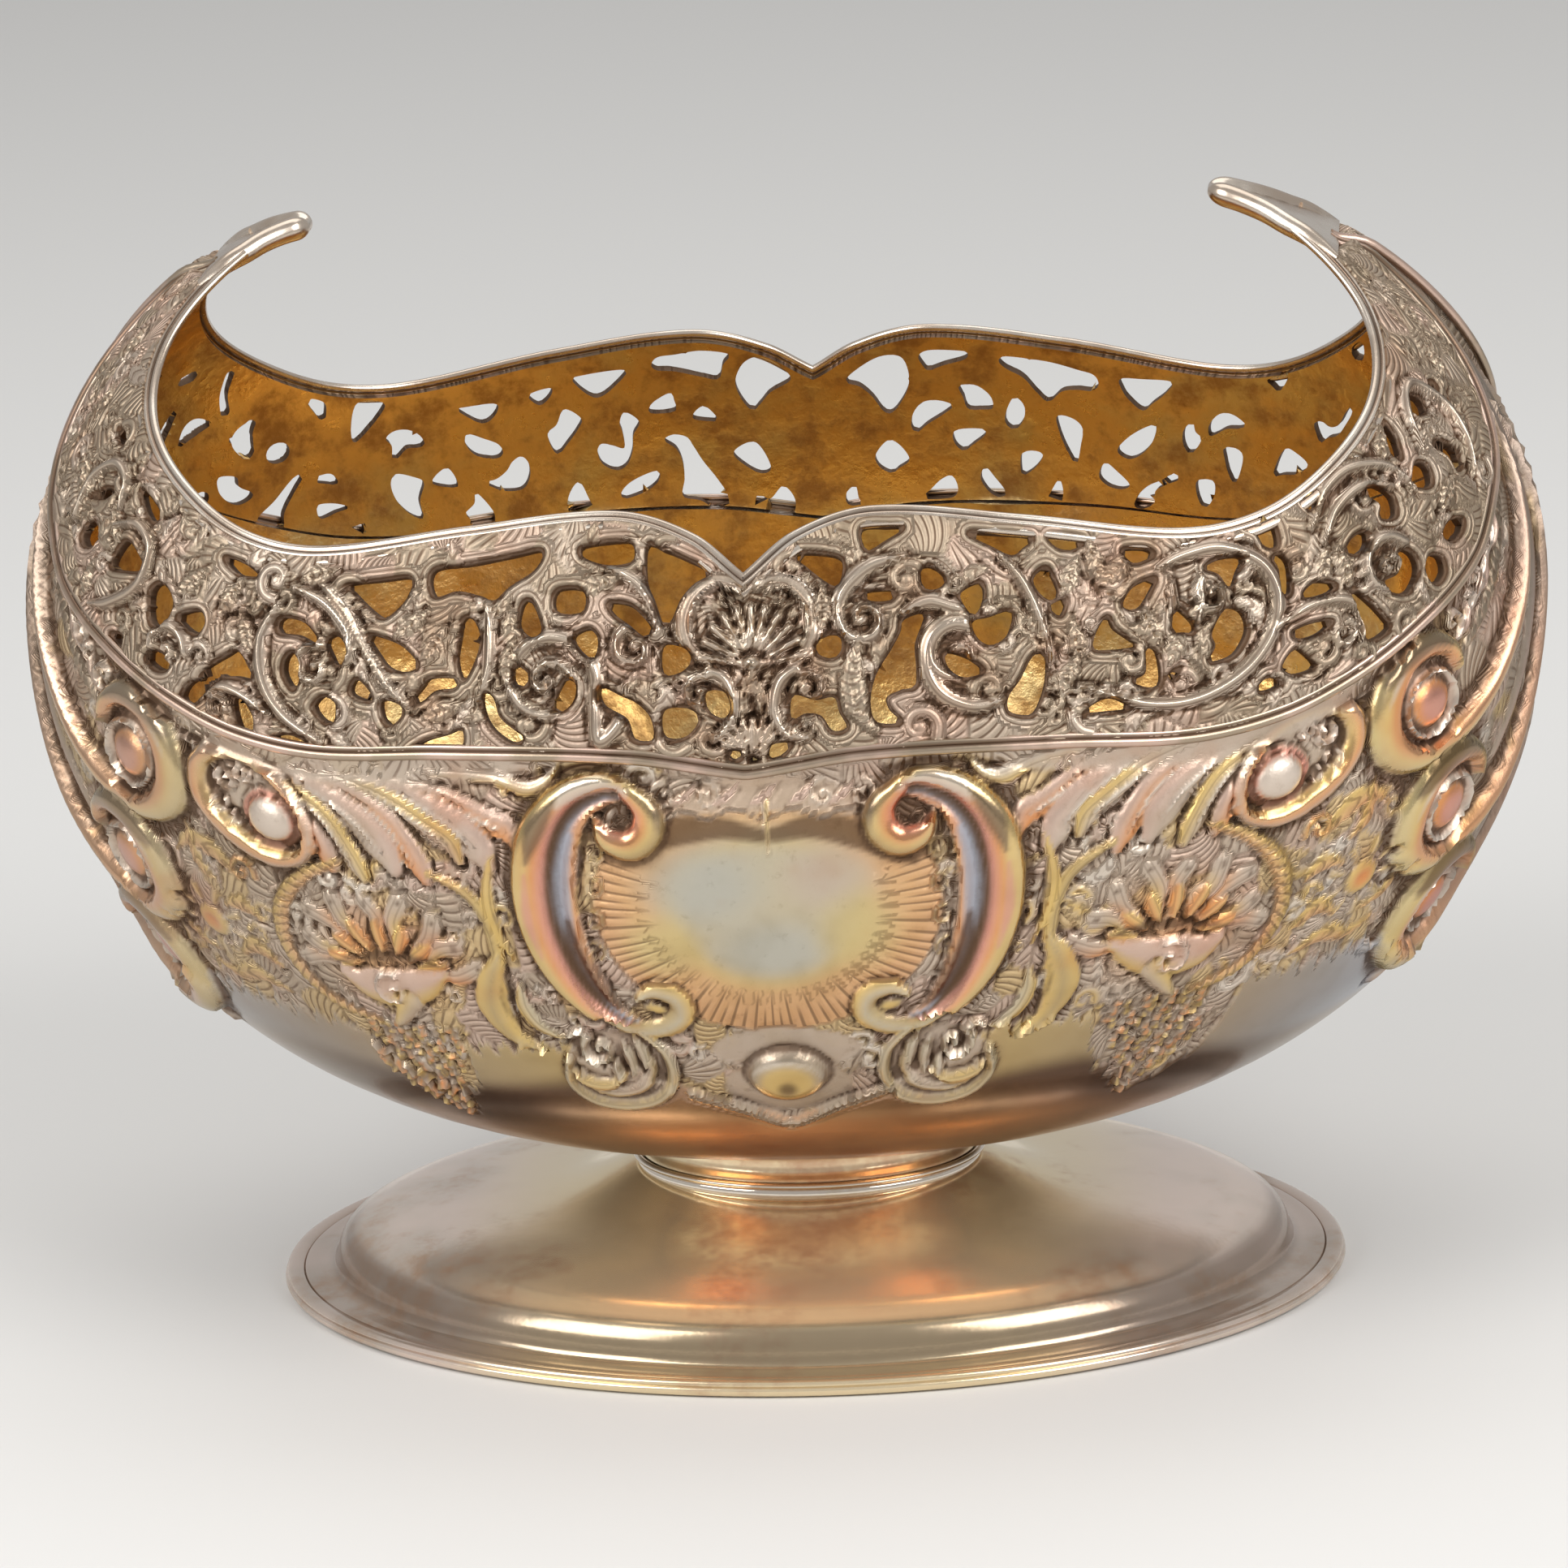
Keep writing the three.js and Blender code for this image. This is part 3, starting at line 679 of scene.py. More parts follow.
def flat_grid(name: str, rows: int, columns: int) -> bpy.types.Object:
    """Adds a flat grid whose vertices run along its rows, ready to be bent into shape."""
    clear_selection()
    bpy.ops.mesh.primitive_grid_add(x_subdivisions=columns - 1, y_subdivisions=rows - 1, size=1)
    piece = bpy.context.object
    piece.name = piece.data.name = name
    return piece


def get_points(piece: bpy.types.Object) -> Array:
    """The vertices of a piece, in millimetres."""
    flat = np.empty(len(piece.data.vertices) * 3)
    piece.data.vertices.foreach_get("co", flat)
    return flat.reshape(-1, 3) / MM


def set_points(piece: bpy.types.Object, points: Array) -> None:
    """Moves the vertices of a piece to places in millimetres."""
    piece.data.vertices.foreach_set("co", (points.reshape(-1, 3) * MM).ravel())
    piece.data.update()


def set_attribute(piece: bpy.types.Object, name: str, values: Array) -> None:
    """Stores a number or a colour on each vertex.

    Args:
        piece: The piece.
        name: The attribute's name.
        values: One number, or one colour of three numbers, per vertex.
    """
    if values.ndim == 1:
        layer = piece.data.attributes.new(name, "FLOAT", "POINT")
        layer.data.foreach_set("value", values)
        return
    layer = piece.data.attributes.new(name, "FLOAT_COLOR", "POINT")
    layer.data.foreach_set("color", np.hstack([values, np.ones((len(values), 1))]).ravel())


def get_attribute(piece: bpy.types.Object, name: str) -> Array:
    """Reads the numbers that set_attribute stored."""
    values = np.empty(len(piece.data.vertices))
    piece.data.attributes[name].data.foreach_get("value", values)
    return values


def close_and_turn_out(piece: bpy.types.Object, merge: float = 2e-6) -> None:
    """Merges doubled vertices, closes what is open and turns the faces outwards."""
    pick(piece)
    bpy.ops.object.mode_set(mode="EDIT")
    bpy.ops.mesh.select_mode(type="VERT")
    bpy.ops.mesh.select_all(action="SELECT")
    bpy.ops.mesh.remove_doubles(threshold=merge)
    bpy.ops.mesh.select_all(action="SELECT")
    bpy.ops.mesh.fill_holes(sides=0)
    bpy.ops.mesh.select_all(action="SELECT")
    bpy.ops.mesh.normals_make_consistent(inside=False)
    bpy.ops.object.mode_set(mode="OBJECT")


def dress(
    piece: bpy.types.Object, nodes: Sequence[str], materials: Sequence[bpy.types.Material], crease: float
) -> None:
    """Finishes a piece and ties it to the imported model.

    Args:
        piece: The piece.
        nodes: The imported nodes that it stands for.
        materials: Its materials, in the order of its faces' indices.
        crease: The angle in degrees past which an edge stays sharp.
    """
    pick(piece)
    bpy.ops.object.shade_smooth_by_angle(angle=math.radians(crease))
    for material in materials:
        piece.data.materials.append(material)
    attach(piece, "root")
    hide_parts(*nodes)
    LOG.info("%s: %d faces for %s", piece.name, len(piece.data.polygons), ", ".join(nodes))


def along_wire(centres: Array, outs: Array) -> tuple[Array, Array]:
    """The directions ahead and up at each point of a wire whose outward directions are known."""
    ahead = np.gradient(centres, axis=0)
    ahead /= np.linalg.norm(ahead, axis=1, keepdims=True)
    ups = np.cross(ahead, outs)
    return ahead, ups * np.sign(ups[:, 2:])


def tube(
    name: str, centres: Array, outs: Array, ups: Array, outline: Array, cut: Array | None = None
) -> bpy.types.Object:
    """Makes a wire of any cross section along a line.

    Args:
        name: The piece's name.
        centres: The points of its centre line, in millimetres.
        outs: The direction of the outline's first number at each point.
        ups: The direction of its second number.
        outline: The closed outline, one row of two numbers per point.
        cut: The way ahead at the last point, if the wire is cut off there in the middle plane.

    Returns:
        The closed tube.
    """
    points = centres[:, None] + outs[:, None] * outline[:, :1] + ups[:, None] * outline[:, 1:]
    if cut is not None:
        points[-1] -= cut * (points[-1, :, :1] / cut[0])
    points = np.concatenate([points, points[:, :1]], axis=1)
    piece = flat_grid(name, points.shape[0], points.shape[1])
    set_points(piece, points)
    set_attribute(piece, "groove", np.tile(grooves(outline), len(points)))
    close_and_turn_out(piece)
    return piece


def grooves(outline: Array) -> Array:
    """How far each point of a reeded outline lies under its neighbours, from 0 to 1; the first point ends it too."""
    reach = np.linalg.norm(outline - outline.mean(axis=0), axis=1)
    around = np.mean([np.roll(reach, k) for k in range(-5, 6)], axis=0)
    deep = np.clip((around - reach) / 0.09, 0, 1)
    return np.append(deep, deep[0])


def reeded_outline(strands: Sequence[Points], sides: int) -> Array:
    """The outline of strands laid side by side and soldered together.

    Args:
        strands: The centre and radius of each strand; the outline is seen from the first one's centre.
        sides: How many points the outline has.

    Returns:
        The outline, counterclockwise.
    """
    angle = np.linspace(0, 2 * math.pi, sides, endpoint=False)
    way = np.stack([np.cos(angle), np.sin(angle)], axis=1)
    middle = np.mean([strand[:2] for strand in strands], axis=0)
    reach = np.zeros(sides)
    for x, y, radius in strands:
        offset = np.array([x, y]) - middle
        ahead = way @ offset
        inside = radius**2 - (offset @ offset - ahead**2)
        reach = np.maximum(reach, np.where(inside > 0, ahead + np.sqrt(np.maximum(inside, 0)), 0))
    return middle + way * reach[:, None]


@dataclass
class BodyOrnament:
    """The embossed pattern of one long side, drawn right-handed and then left-handed."""

    axis: float = 1.5
    left_drop: float = 2.0
    ground: float = -0.6
    end_sink: float = 0.8
    reeding: float = 0.45
    border: Points = (
        -104.4, 35, -90, 36, -76, 41, -60, 39.5, -52, 38.5, -49, 33, -45, 29, -40, 30.5, -37.5, 37, -24, 38.5,
        -9, 31.7, 2.6, 26.4, 15.2, 32.3, 28, 40.5, 38.5, 40, 42, 33, 52, 27, 57, 33, 57.5, 42, 76, 42, 88, 38,
        104.4, 35,
    )

    def draw(self, relief: Relief, form: BowlForm) -> None:
        """Draws the whole pattern.

        Args:
            relief: The relief to draw on.
            form: The bowl's form.
        """
        relief.axis, relief.left_drop, relief.reeding = self.axis, self.left_drop, self.reeding
        columns = relief.s[0]
        knots = np.reshape(self.border, (-1, 2))
        border = np.interp(columns, knots[:, 0], knots[:, 1])
        waves = 0.7 * np.sin(columns * 2.3) + 0.5 * np.sin(columns * 5.1)
        border += waves * smooth((np.abs(columns - 2.6) - 16) / 3)
        shoulder = form.shoulder(columns)
        zone = smooth((relief.t - border) / 0.7)
        sink = self.end_sink * smooth((np.abs(relief.s) - 60) / 25) * smooth((relief.t - 36) / 8)
        relief.base += self.ground * zone - sink
        relief.height += relief.base
        plain, height = relief.tint.copy(), relief.height.copy()
        relief.leafage(size=4.4, pitch=0.8, height=0.3, seed=31, tints=(BEIGE, ROSE, GREY, BEIGE, YELLOW))
        relief.height = height + (relief.height - height) * zone
        relief.tint = plain + (relief.tint - plain) * zone[..., None]
        relief.lined *= zone
        relief.matte += zone
        relief.tint += (self._plain_tint(relief) - relief.tint) * (1 - zone[..., None])
        relief.scatter(520, 11, (2.2, 5.2), height=0.45, lowest=border + 2, highest=shoulder - 2,
            tints=((BEIGE,), (ROSE, BEIGE), (BEIGE, YELLOW), (PALE,), None))
        for hand in (1, -1):
            relief.hand = hand
            self._end_flutes(relief)
            self._gadroons(relief)
            self._volutes(relief)
            self._flower(relief)
            self._cone(relief)
        relief.hand = 1
        self._cartouche(relief)
        for hand in (1, -1):
            relief.hand = hand
            self._scroll(relief)
            self._shell(relief)
        relief.hand = 1
        self._panel(relief)
        self._under_shoulder(relief, form)
        left = smooth((-relief.s - 38) / 30)[..., None]
        relief.tint += (GREY.linear() - relief.tint) * 0.42 * left
        # Painted shade: the tint darkens towards the ends, more near the tips, and the ends are made matte.
        end = smooth((np.abs(relief.s) - 76) / 16)
        relief.tint *= 1 - (0.3 * end + 0.15 * smooth((np.abs(relief.s) - 88) / 10))[..., None]
        relief.matte = np.maximum(relief.matte, 0.75 * end * zone)
        relief.height -= (relief.height - relief.base) * 0.35 * smooth((np.abs(relief.s) - 88) / 10)

    @staticmethod
    def _plain_tint(relief: Relief) -> Array:
        """The colours of the plain underside: coppery at the bottom and a dark olive band above it, partly tarnish and
        partly a painted dark reflection of the surroundings, then greyer metal.
        """
        side = np.clip(np.abs(relief.s - 2) / 85, 0, 1)
        # Partly tarnish, partly painted dark reflection: the coppery bottom and the dark band.
        low = shaded((COPPER, COPPER, GREY), side)
        band = shaded((COPPER, UMBER, UMBER, GREY), side)
        high = shaded((COPPER, OLIVE, GREY, STEEL), side)
        wave = relief.t + 1.6 * np.sin(relief.s / 9)
        share = smooth((wave - 20) / 7)[..., None]
        top = smooth((wave - 31) / 4)[..., None]
        return (low * (1 - share) + band * share) * (1 - top) + high * top

    def _cartouche(self, relief: Relief) -> None:
        """The plain field in the middle with its ring of flutes, its engraved line and a painted shadow under that
        line.
        """
        relief.boss((1.5, 55.2), (18.4, 14.4), 0.55, tint=(PEACH, PEACH, YELLOW, CREAM, CREAM))
        relief.boss((1.5, 56.2), (18, 14), None, tint=(YELLOW, CREAM, CREAM))
        for s, t, wide, tall, tint in ((-5, 58, 9, 6.4, MIST), (2, 51, 9, 5, MIST), (8, 59, 7, 5, BEIGE),
                                       (11, 53, 6, 6, STRAW), (-10, 51.4, 6, 5, STRAW)):
            relief.boss((s, t), (wide, tall), None, tint=(tint,))
        relief.rays((1.5, 55.2), (18.3, 14.3), first=0.6, angles=(-206, 26), count=56, strength=1.0)
        relief.paint(BEIGE, (-16, 64.6, 1.4, -8, 67.6, 2.6, 1.5, 68.2, 2.8, 11, 67.4, 2.6, 18, 63.6, 1.4))
        # Painted shadow: a dark band under the engraved scalloped line at the top of the field.
        relief.paint(UMBER, (-14, 61.6, .9, -8, 63.7, 1.8, -3, 64.2, 1.5, 1.7, 63.4, 1.1, 6.4, 64.2, 1.6, 11, 63.2,
            1.8, 16.6, 60.4, .9))
        relief.stroke((-15, 63.2, .3, -12, 65.2, .35, -9, 64.9, .3, -6.6, 65.9, .35, -4, 65.2, .3, -1.5, 66.1, .3,
            1.6, 65.1, .3, 4.6, 66.1, .3, 7.2, 65.2, .3, 10, 65.9, .35, 12.4, 64.7, .3, 15.4, 63.7, .3), 0.5,
            (BEIGE,), Profile.ROPE, 30)
        relief.stroke((1.7, 67, .5, 1.8, 64, .4, 1.9, 61.4, .15), 0.8, (YELLOW, BEIGE), Profile.LEAF, 3)
        for s, sweep in ((-8.4, 420), (-4.2, -420), (7.4, 420), (11.4, -420)):
            relief.coil((s, 67.4), 1.5, 90, sweep, 0.4, 0.55, (BEIGE,))
        for s in (-6.2, -2, 1.7, 5.4, 9.5):
            relief.stroke((s - 1.3, 66.6, .3, s, 67.4, .6, s + 1.2, 68.8, .2), 0.4, (ROSE,), Profile.LEAF, 2)
        for hand in (-1, 1):
            for k in range(4):
                s, t = 1.5 + hand * (17.6 + .4 * k), 61.4 - 3.6 * k
                relief.coil((s, t), 1.25, 90, 400 * hand, 0.36, 0.5, (BEIGE, YELLOW))

    def _scroll(self, relief: Relief) -> None:
        """The big C-scroll beside the cartouche, with the curl at its foot, the leaf outside it and a painted highlight
        and painted dark reflections at its top.
        """
        relief.stroke((29.8, 39.2, .4, 32.8, 41.4, 1.4, 33.8, 45, 2.2, 32.6, 48.8, 1.6, 31, 51.4, .4), 1.0,
            (YELLOW, OLIVE, YELLOW))
        relief.paint(UMBER, (30.2, 41.4, .3, 31.8, 43.6, .5, 32.2, 46.2, .5, 31.4, 49, .2))
        relief.stroke((26.8, 40.4, .4, 29.2, 42.2, 1, 30.2, 45, 1, 29.8, 47.6, .3), 0.7, (CREAM, YELLOW))
        relief.stroke((29.6, 50.4, .3, 30.8, 54, .6, 31, 58, .8, 29.8, 62, .3), 0.6, (YELLOW,))
        relief.stroke((14.2, 66.6, .5, 15.2, 67.9, 1.5, 17.4, 68.3, 2.1, 20.6, 67, 2.7, 23.2, 63.9, 3.4, 24.5, 59.6,
            3.7, 24.7, 54.8, 3.7, 23.8, 50.2, 3.4, 22, 46.2, 2.7, 19.6, 43.4, 1.7, 17.2, 42.2, .9), 2.2,
            (YELLOW, YELLOW, ORANGE, PINK, UMBER, STEEL, ORANGE), Profile.CHANNEL)
        relief.stroke((18.4, 65, .6, 17.4, 63.2, 1.5, 15.2, 62.5, 1.9, 13.4, 63.8, 2, 13.2, 66, 1.8, 14.8, 67.9, 1.3),
            1.7, (OLIVE, YELLOW, ORANGE, PINK))
        # Painted tones on the scroll: a painted highlight (PALE) along its top, painted dark reflections (UMBER) on
        # either side of the top and in the gap of the curl, a dark tone down the lower channel, steel in the channel
        # and pink beside it.
        for tint, points in (
            (STEEL, (21.2, 63.4, .8, 22.4, 60, 1.3, 22.8, 56, 1.4, 22.5, 52.6, .9)),
            (UMBER, (22.5, 54.4, .8, 22.2, 50.4, 1.5, 20.8, 46.8, 1.4, 18.8, 44.2, .5)),
            (PINK, (26, 60, .5, 26.3, 55.6, .9, 25.6, 51.4, .5)),
            (UMBER, (22, 67.4, .6, 24.4, 64.6, 1.4, 25.6, 61.4, .6)),
            (UMBER, (14, 68, .4, 12.3, 66.4, .8, 12, 63.8, .4)),
            (PALE, (15, 68, .6, 17.6, 68.8, 1.2, 20.6, 68, 1.2, 22, 66.6, .5)),
            (UMBER, (14.9, 65.6, .2, 16, 66.3, .5, 17.6, 66, .35)),
        ):
            relief.paint(tint, points)
        relief.stroke((21, 43.2, .6, 17.8, 41.4, 1.1, 14.4, 41.6, 1.4, 12, 43.2, 1.6, 12.2, 45.4, 1.5, 14.6, 46.3,
            1.1, 16.6, 45.4, .6), 1.0, (YELLOW, CREAM, OLIVE))
        relief.boss((14.6, 44), (1.7, .8), 0.5, 10, (OLIVE, YELLOW))

    def _shell(self, relief: Relief) -> None:
        """The shell lobe under the scroll."""
        relief.boss((21, 35.6), (7, 5.4), 0.3, -8, (BEIGE,))
        relief.stroke((17.2, 41.2, .6, 14.8, 38, .8, 15, 34, .9, 17.8, 31.3, .9, 22.2, 30.4, .9, 26.2, 31.6, .9, 28,
            34.6, .8, 27, 37.8, .6), 1.0, (CREAM, OLIVE), lean=-1)
        relief.stroke((17.6, 39, .4, 17.1, 35.8, .7, 19, 33.4, .8, 22.6, 32.6, .8, 25.3, 33.6, .7, 26, 36, .4), 0.9,
            (BEIGE, OLIVE))
        for s0, t0, s1, t1 in ((18.2, 40.4, 17.8, 36.2), (19.8, 39.4, 19.6, 35.2), (21.4, 37.2, 21.6, 34.6)):
            relief.stroke((s0, t0, .3, (s0 + s1) / 2 - .3, (t0 + t1) / 2, .9, s1, t1, .5), 0.9, (BEIGE, CREAM))
        relief.stroke((20.4, 35.2, .3, 23, 34, .9, 25.8, 34.7, .9, 27, 36.4, .3), 1.1, (YELLOW, OLIVE))
        relief.paint(UMBER, (20.4, 34, .2, 23, 32.9, .35, 26, 33.6, .3))
        relief.coil((22.7, 38.7), 2.1, 60, -430, 0.7, 1.1, (CREAM, BEIGE), (26.4, 40.6, .3, 24.8, 41.2, .6))

    def _panel(self, relief: Relief) -> None:
        """The matte field under the cartouche with its oval boss, its painted shade and highlight, and its pointed
        lower edge.
        """
        relief.boss((2.7, 38.2), (9.5, 3.2), 0.1, tint=(BEIGE,))
        relief.boss((2.7, 32.4), (8.6, 4.6), 0.05, tint=(BEIGE,))
        relief.boss((2.7, 34.6), (5.4, 3.9), 2.1, tint=(GREY, YELLOW, YELLOW), dimple=0.5)
        # Painted shade: a dark patch on the lower middle of the boss; then a painted highlight line over its top.
        relief.boss((2.7, 33.8), (1.9, 1.5), None, tint=(UMBER,))
        relief.paint(PALE, (-1.6, 35.6, .3, .4, 37, .6, 3, 37.4, .6, 5.6, 36.6, .5, 7, 35, .3))
        for drop, profile in ((0, Profile.ROUND), (.9, Profile.ROPE)):
            relief.stroke((-10.4, 32.2 - drop, .45, -4, 29.4 - drop, .45, 2.6, 26.2 - drop, .45, 9.4, 29.6 - drop,
                .45, 16.2, 32.8 - drop, .45), 0.42 - drop * .2, (GREY,), profile, 34)

    def _flower(self, relief: Relief) -> None:
        """The flower head inside its roped ring, and the little blooms beside it."""
        relief.boss((45, 50.6), (11, 8.4), None, tint=(PEACH,))
        relief.stroke((47.5, 61, .6, 52, 59.2, .9, 56, 55.6, 1.1, 57.8, 51, 1.1, 57.1, 46.6, 1, 54.6, 43.6, .9, 50.4,
            42, .6), 0.75, (YELLOW, PEACH), Profile.ROPE, 24)
        relief.stroke((37, 60.6, .5, 33, 58, .8, 31.4, 54.4, .9, 31.4, 50.8, .9, 32.8, 47.8, .5), 0.7,
            (YELLOW, OLIVE), lean=-1)
        for k, angle in enumerate(np.radians((4, 24, 46, 66, 88, 110, 132, 154, 174))):
            x, y = math.cos(angle), math.sin(angle)
            reach, bend = (10.6, 9.8, 11)[k % 3], (.7, -.5)[k % 2]
            relief.stroke((45 + 5 * x, 48.8 + 3.6 * y, .5, 45 + 8 * x - bend * y, 48.8 + 6.4 * y + bend * x, 1.1,
                45 + reach * x, 48.8 + reach * .82 * y, 1.25), 0.6, ((ORANGE, BEIGE), (YELLOW, ROSE))[k % 2],
                tip=BEIGE)
            relief.boss((45 + reach * x, 48.8 + reach * .82 * y), (.5, .5), None, tint=(UMBER,))
        for angle in np.radians((14, 40, 66, 92, 118, 144, 168)):
            x, y = math.cos(angle), math.sin(angle)
            relief.stroke((45 + 3.6 * x, 49 + 2.6 * y, .4, 45 + 5.6 * x, 49 + 4.4 * y, 1, 45 + 7 * x, 49 + 5.8 * y,
                .6), 0.85, (ORANGE, YELLOW))
        relief.stroke((38.6, 49.2, .7, 41, 48, 1.8, 45, 46.8, 2.7, 48.8, 47, 2.3, 51, 48.4, .9), 0.95,
            (ROSE, ROSE, YELLOW))
        relief.stroke((44.4, 45.6, 1.7, 46.4, 43.2, 1, 48.2, 41.6, .5), 0.9, (YELLOW, BEIGE))
        relief.paint(UMBER, (37.8, 50.2, .5, 41, 50.9, .9, 45, 50.8, 1, 48.6, 50.4, .8, 51.4, 49.6, .4))
        relief.coil((45.6, 46.8), 2.2, 120, -430, 0.5, 0.5, (PALE, ROSE), on=True)
        relief.boss((68, 51.6), (2.2, 1.9), 0.7, tint=(YELLOW, ORANGE), dimple=0.4)
        relief.fan((68, 51.6), (2.6, 2.4), (4.4, 4), angles=(0, 320), count=9, half_width=0.7, height=0.45,
            tint=(YELLOW, BEIGE))
        for points in (
            (61, 57.6, .4, 63.4, 60.2, 1.2, 66.4, 61.2, 1, 69, 59.6, .3), (60, 53, .4, 62, 54.6, 1.1, 64.6, 54, .4),
            (60.6, 47.4, .4, 63, 49.4, 1.2, 66, 48, .4), (62, 44, .4, 66, 45.6, 1.2, 70, 44.6, .8, 73, 45.8, .3),
            (64.6, 56.8, .4, 66.2, 58.6, .9, 66.4, 63, .4), (70, 47.6, .3, 73, 49, .9, 74.4, 52, .3),
        ):
            relief.stroke(points, 0.5, (YELLOW, PEACH), Profile.LEAF, 4)
        relief.coil((60.2, 58.6), 1.7, 200, -420, 0.5, 0.6, (ORANGE, YELLOW))
        relief.coil((61.4, 51), 1.3, 20, 420, 0.4, 0.6, (YELLOW,))

    def _cone(self, relief: Relief) -> None:
        """The scaly cone that hangs below the flower."""
        tints = ((UMBER, YELLOW), (UMBER, BEIGE), (GREY, ORANGE))
        for row in range(15):
            t = 41.4 - 1.0 * row
            left, right = 39.4 + .72 * row + .55 * (row % 2), 52.4 + .72 * row - .064 * row * row
            for k, s in enumerate(np.arange(left, min(right, 57.6), 1.15)):
                place = (s + .3 * math.sin(3.1 * k + row), t + .25 * math.sin(1.7 * k + 2 * row))
                relief.boss(place, (.66, .6), 0.55, tint=tints[(k + row) % 3])

    def _gadroons(self, relief: Relief) -> None:
        """The flame-shaped fingers that rise from the flower to the plain band, and the oval ring beside them, with
        painted shade and painted highlights on them.
        """
        starts = ((27, 62.4), (30.4, 60.8), (33.4, 61.8), (37.4, 59.8), (40.8, 60.8), (44.6, 59.6), (48, 60.4))
        relief.chase_depth += 0.18
        for k, (b, low) in enumerate(starts):
            wide = (1.5, 1.9, 1.3)[k % 3]
            tints = ((ROSE, ORANGE), (ROSE, BEIGE), (YELLOW, BEIGE))[k % 3]
            relief.stroke((b, low, wide * .5, b + .7, low + 2, wide, b + 3, 65.6, wide, b + 6.6, 68, 1.3, b + 11.4,
                69.7, .8, b + 16, 70.5, .3), 0.75, tints, tip=BEIGE)
            # Painted shade along the side of each finger, and a painted highlight line along it.
            relief.paint(UMBER, (b + 1.6, low + .4, .2, b + 3.4, 64, .42, b + 6.4, 66.4, .3))
            relief.stroke((b + 1.2, low + 2, .2, b + 3.8, 65.8, .4, b + 8.6, 68.9, .2), 0.1, (PALE,), on=True)
        # A pale crescent over the fingers: a painted highlight.
        relief.stroke((22, 70.4, .3, 23.4, 68.8, .9, 25.4, 68.4, 1, 29, 69.9, .8, 36, 71, .3), 0.8, (PALE, YELLOW))
        relief.boss((56.4, 66.4), (6.4, 4.8), 0.3, 24, (BEIGE,))
        relief.stroke((50.6, 62, .9, 54.6, 60.9, 1.3, 59.4, 63, 1.5, 62.6, 66.6, 1.5, 62.2, 70.2, 1.4, 58.6, 71.7,
            1.2, 54, 70.2, 1, 50.8, 66.6, .9), 1.5, (BEIGE, ORANGE, YELLOW), closed=True, lean=-1)
        # Painted shade along the top of the oval ring.
        relief.paint(UMBER, (52.6, 69.9, .5, 55.4, 71.4, .9, 58.4, 71.9, 1, 61, 71.2, .5))
        relief.boss((54.2, 65), (3.7, 3.2), 0.9, 10, (PINK,))
        relief.boss((54.2, 65), (2.7, 2.3), 0.7, 10, (PALE,), on=True)
        for s, t, r in ((59.2, 68.6, 1.3), (57, 69.2, 1), (60.2, 66, 1), (58.4, 64.6, .8)):
            relief.coil((s, t), r, 40, -400, r * 0.36, 0.9, (ROSE, PALE))
        relief.coil((63.4, 73), 1.4, 250, 420, 0.4, 0.5, (PALE,))
        relief.chase_depth -= 0.18

    def _volutes(self, relief: Relief) -> None:
        """The three big volutes that climb the end, each with a ringed disc in its eye, and painted shade and a painted
        highlight near its top.
        """
        body = np.reshape((3.6, 2.6, .9, 2.6, 5, 1.3, -.4, 6.2, 1.8, -4.2, 5, 2.2, -6.2, 1.4, 2.4, -5.9, -2.6, 2.5,
                           -3.1, -4.8, 2.3, 1.2, -5.1, 1.9), (-1, 3))
        tails = (
            (78.6, 66, 1.6, 84, 70.4, 1.4, 89.6, 79, 1.1, 94, 90, .8, 97, 101, .4),
            (85.4, 53.8, 1.6, 91, 59, 1.4, 96, 68, 1.1, 100, 82, .8, 102, 96, .4),
            (91, 41.4, 1.6, 96.4, 46, 1.4, 100.6, 54, 1.1, 102.6, 64, .5),
        )
        for (s, t), tail in zip(((72.6, 69.3), (79, 56.8), (85.2, 44.6)), tails):
            path = np.vstack([body + (s, t, 0), np.reshape(tail, (-1, 3))])
            relief.stroke(path.ravel(), 2.0, (ORANGE, ORANGE, YELLOW, STRAW), tip=ROSE)
            # Painted shade over the top of each volute and a painted highlight beside it.
            relief.paint(UMBER, (s - 6.8, t + 3.2, .8, s - 4.4, t + 5.6, 1.6, s - 1, t + 6.7, 1.5, s + 1.8, t + 5.8,
                .7))
            relief.paint(PALE, (s - 6.8, t + .6, .3, s - 5.8, t + 2.8, .6, s - 4.4, t + 4.2, .3))
            relief.boss((s + .3, t - .2), (4.7, 4.5), 0.7, tint=(ROSE,))
            turns = np.linspace(0, 2 * math.pi, 12)[:-1]
            ring = [(s + .3 + 3.5 * math.cos(k), t - .2 + 3.4 * math.sin(k), .5) for k in turns]
            relief.stroke(np.ravel(ring), 1.3, (PALE,), closed=True)
            relief.boss((s + .3, t - .2), (2.8, 2.7), 1.3, tint=(ORANGE, PINK, PINK))

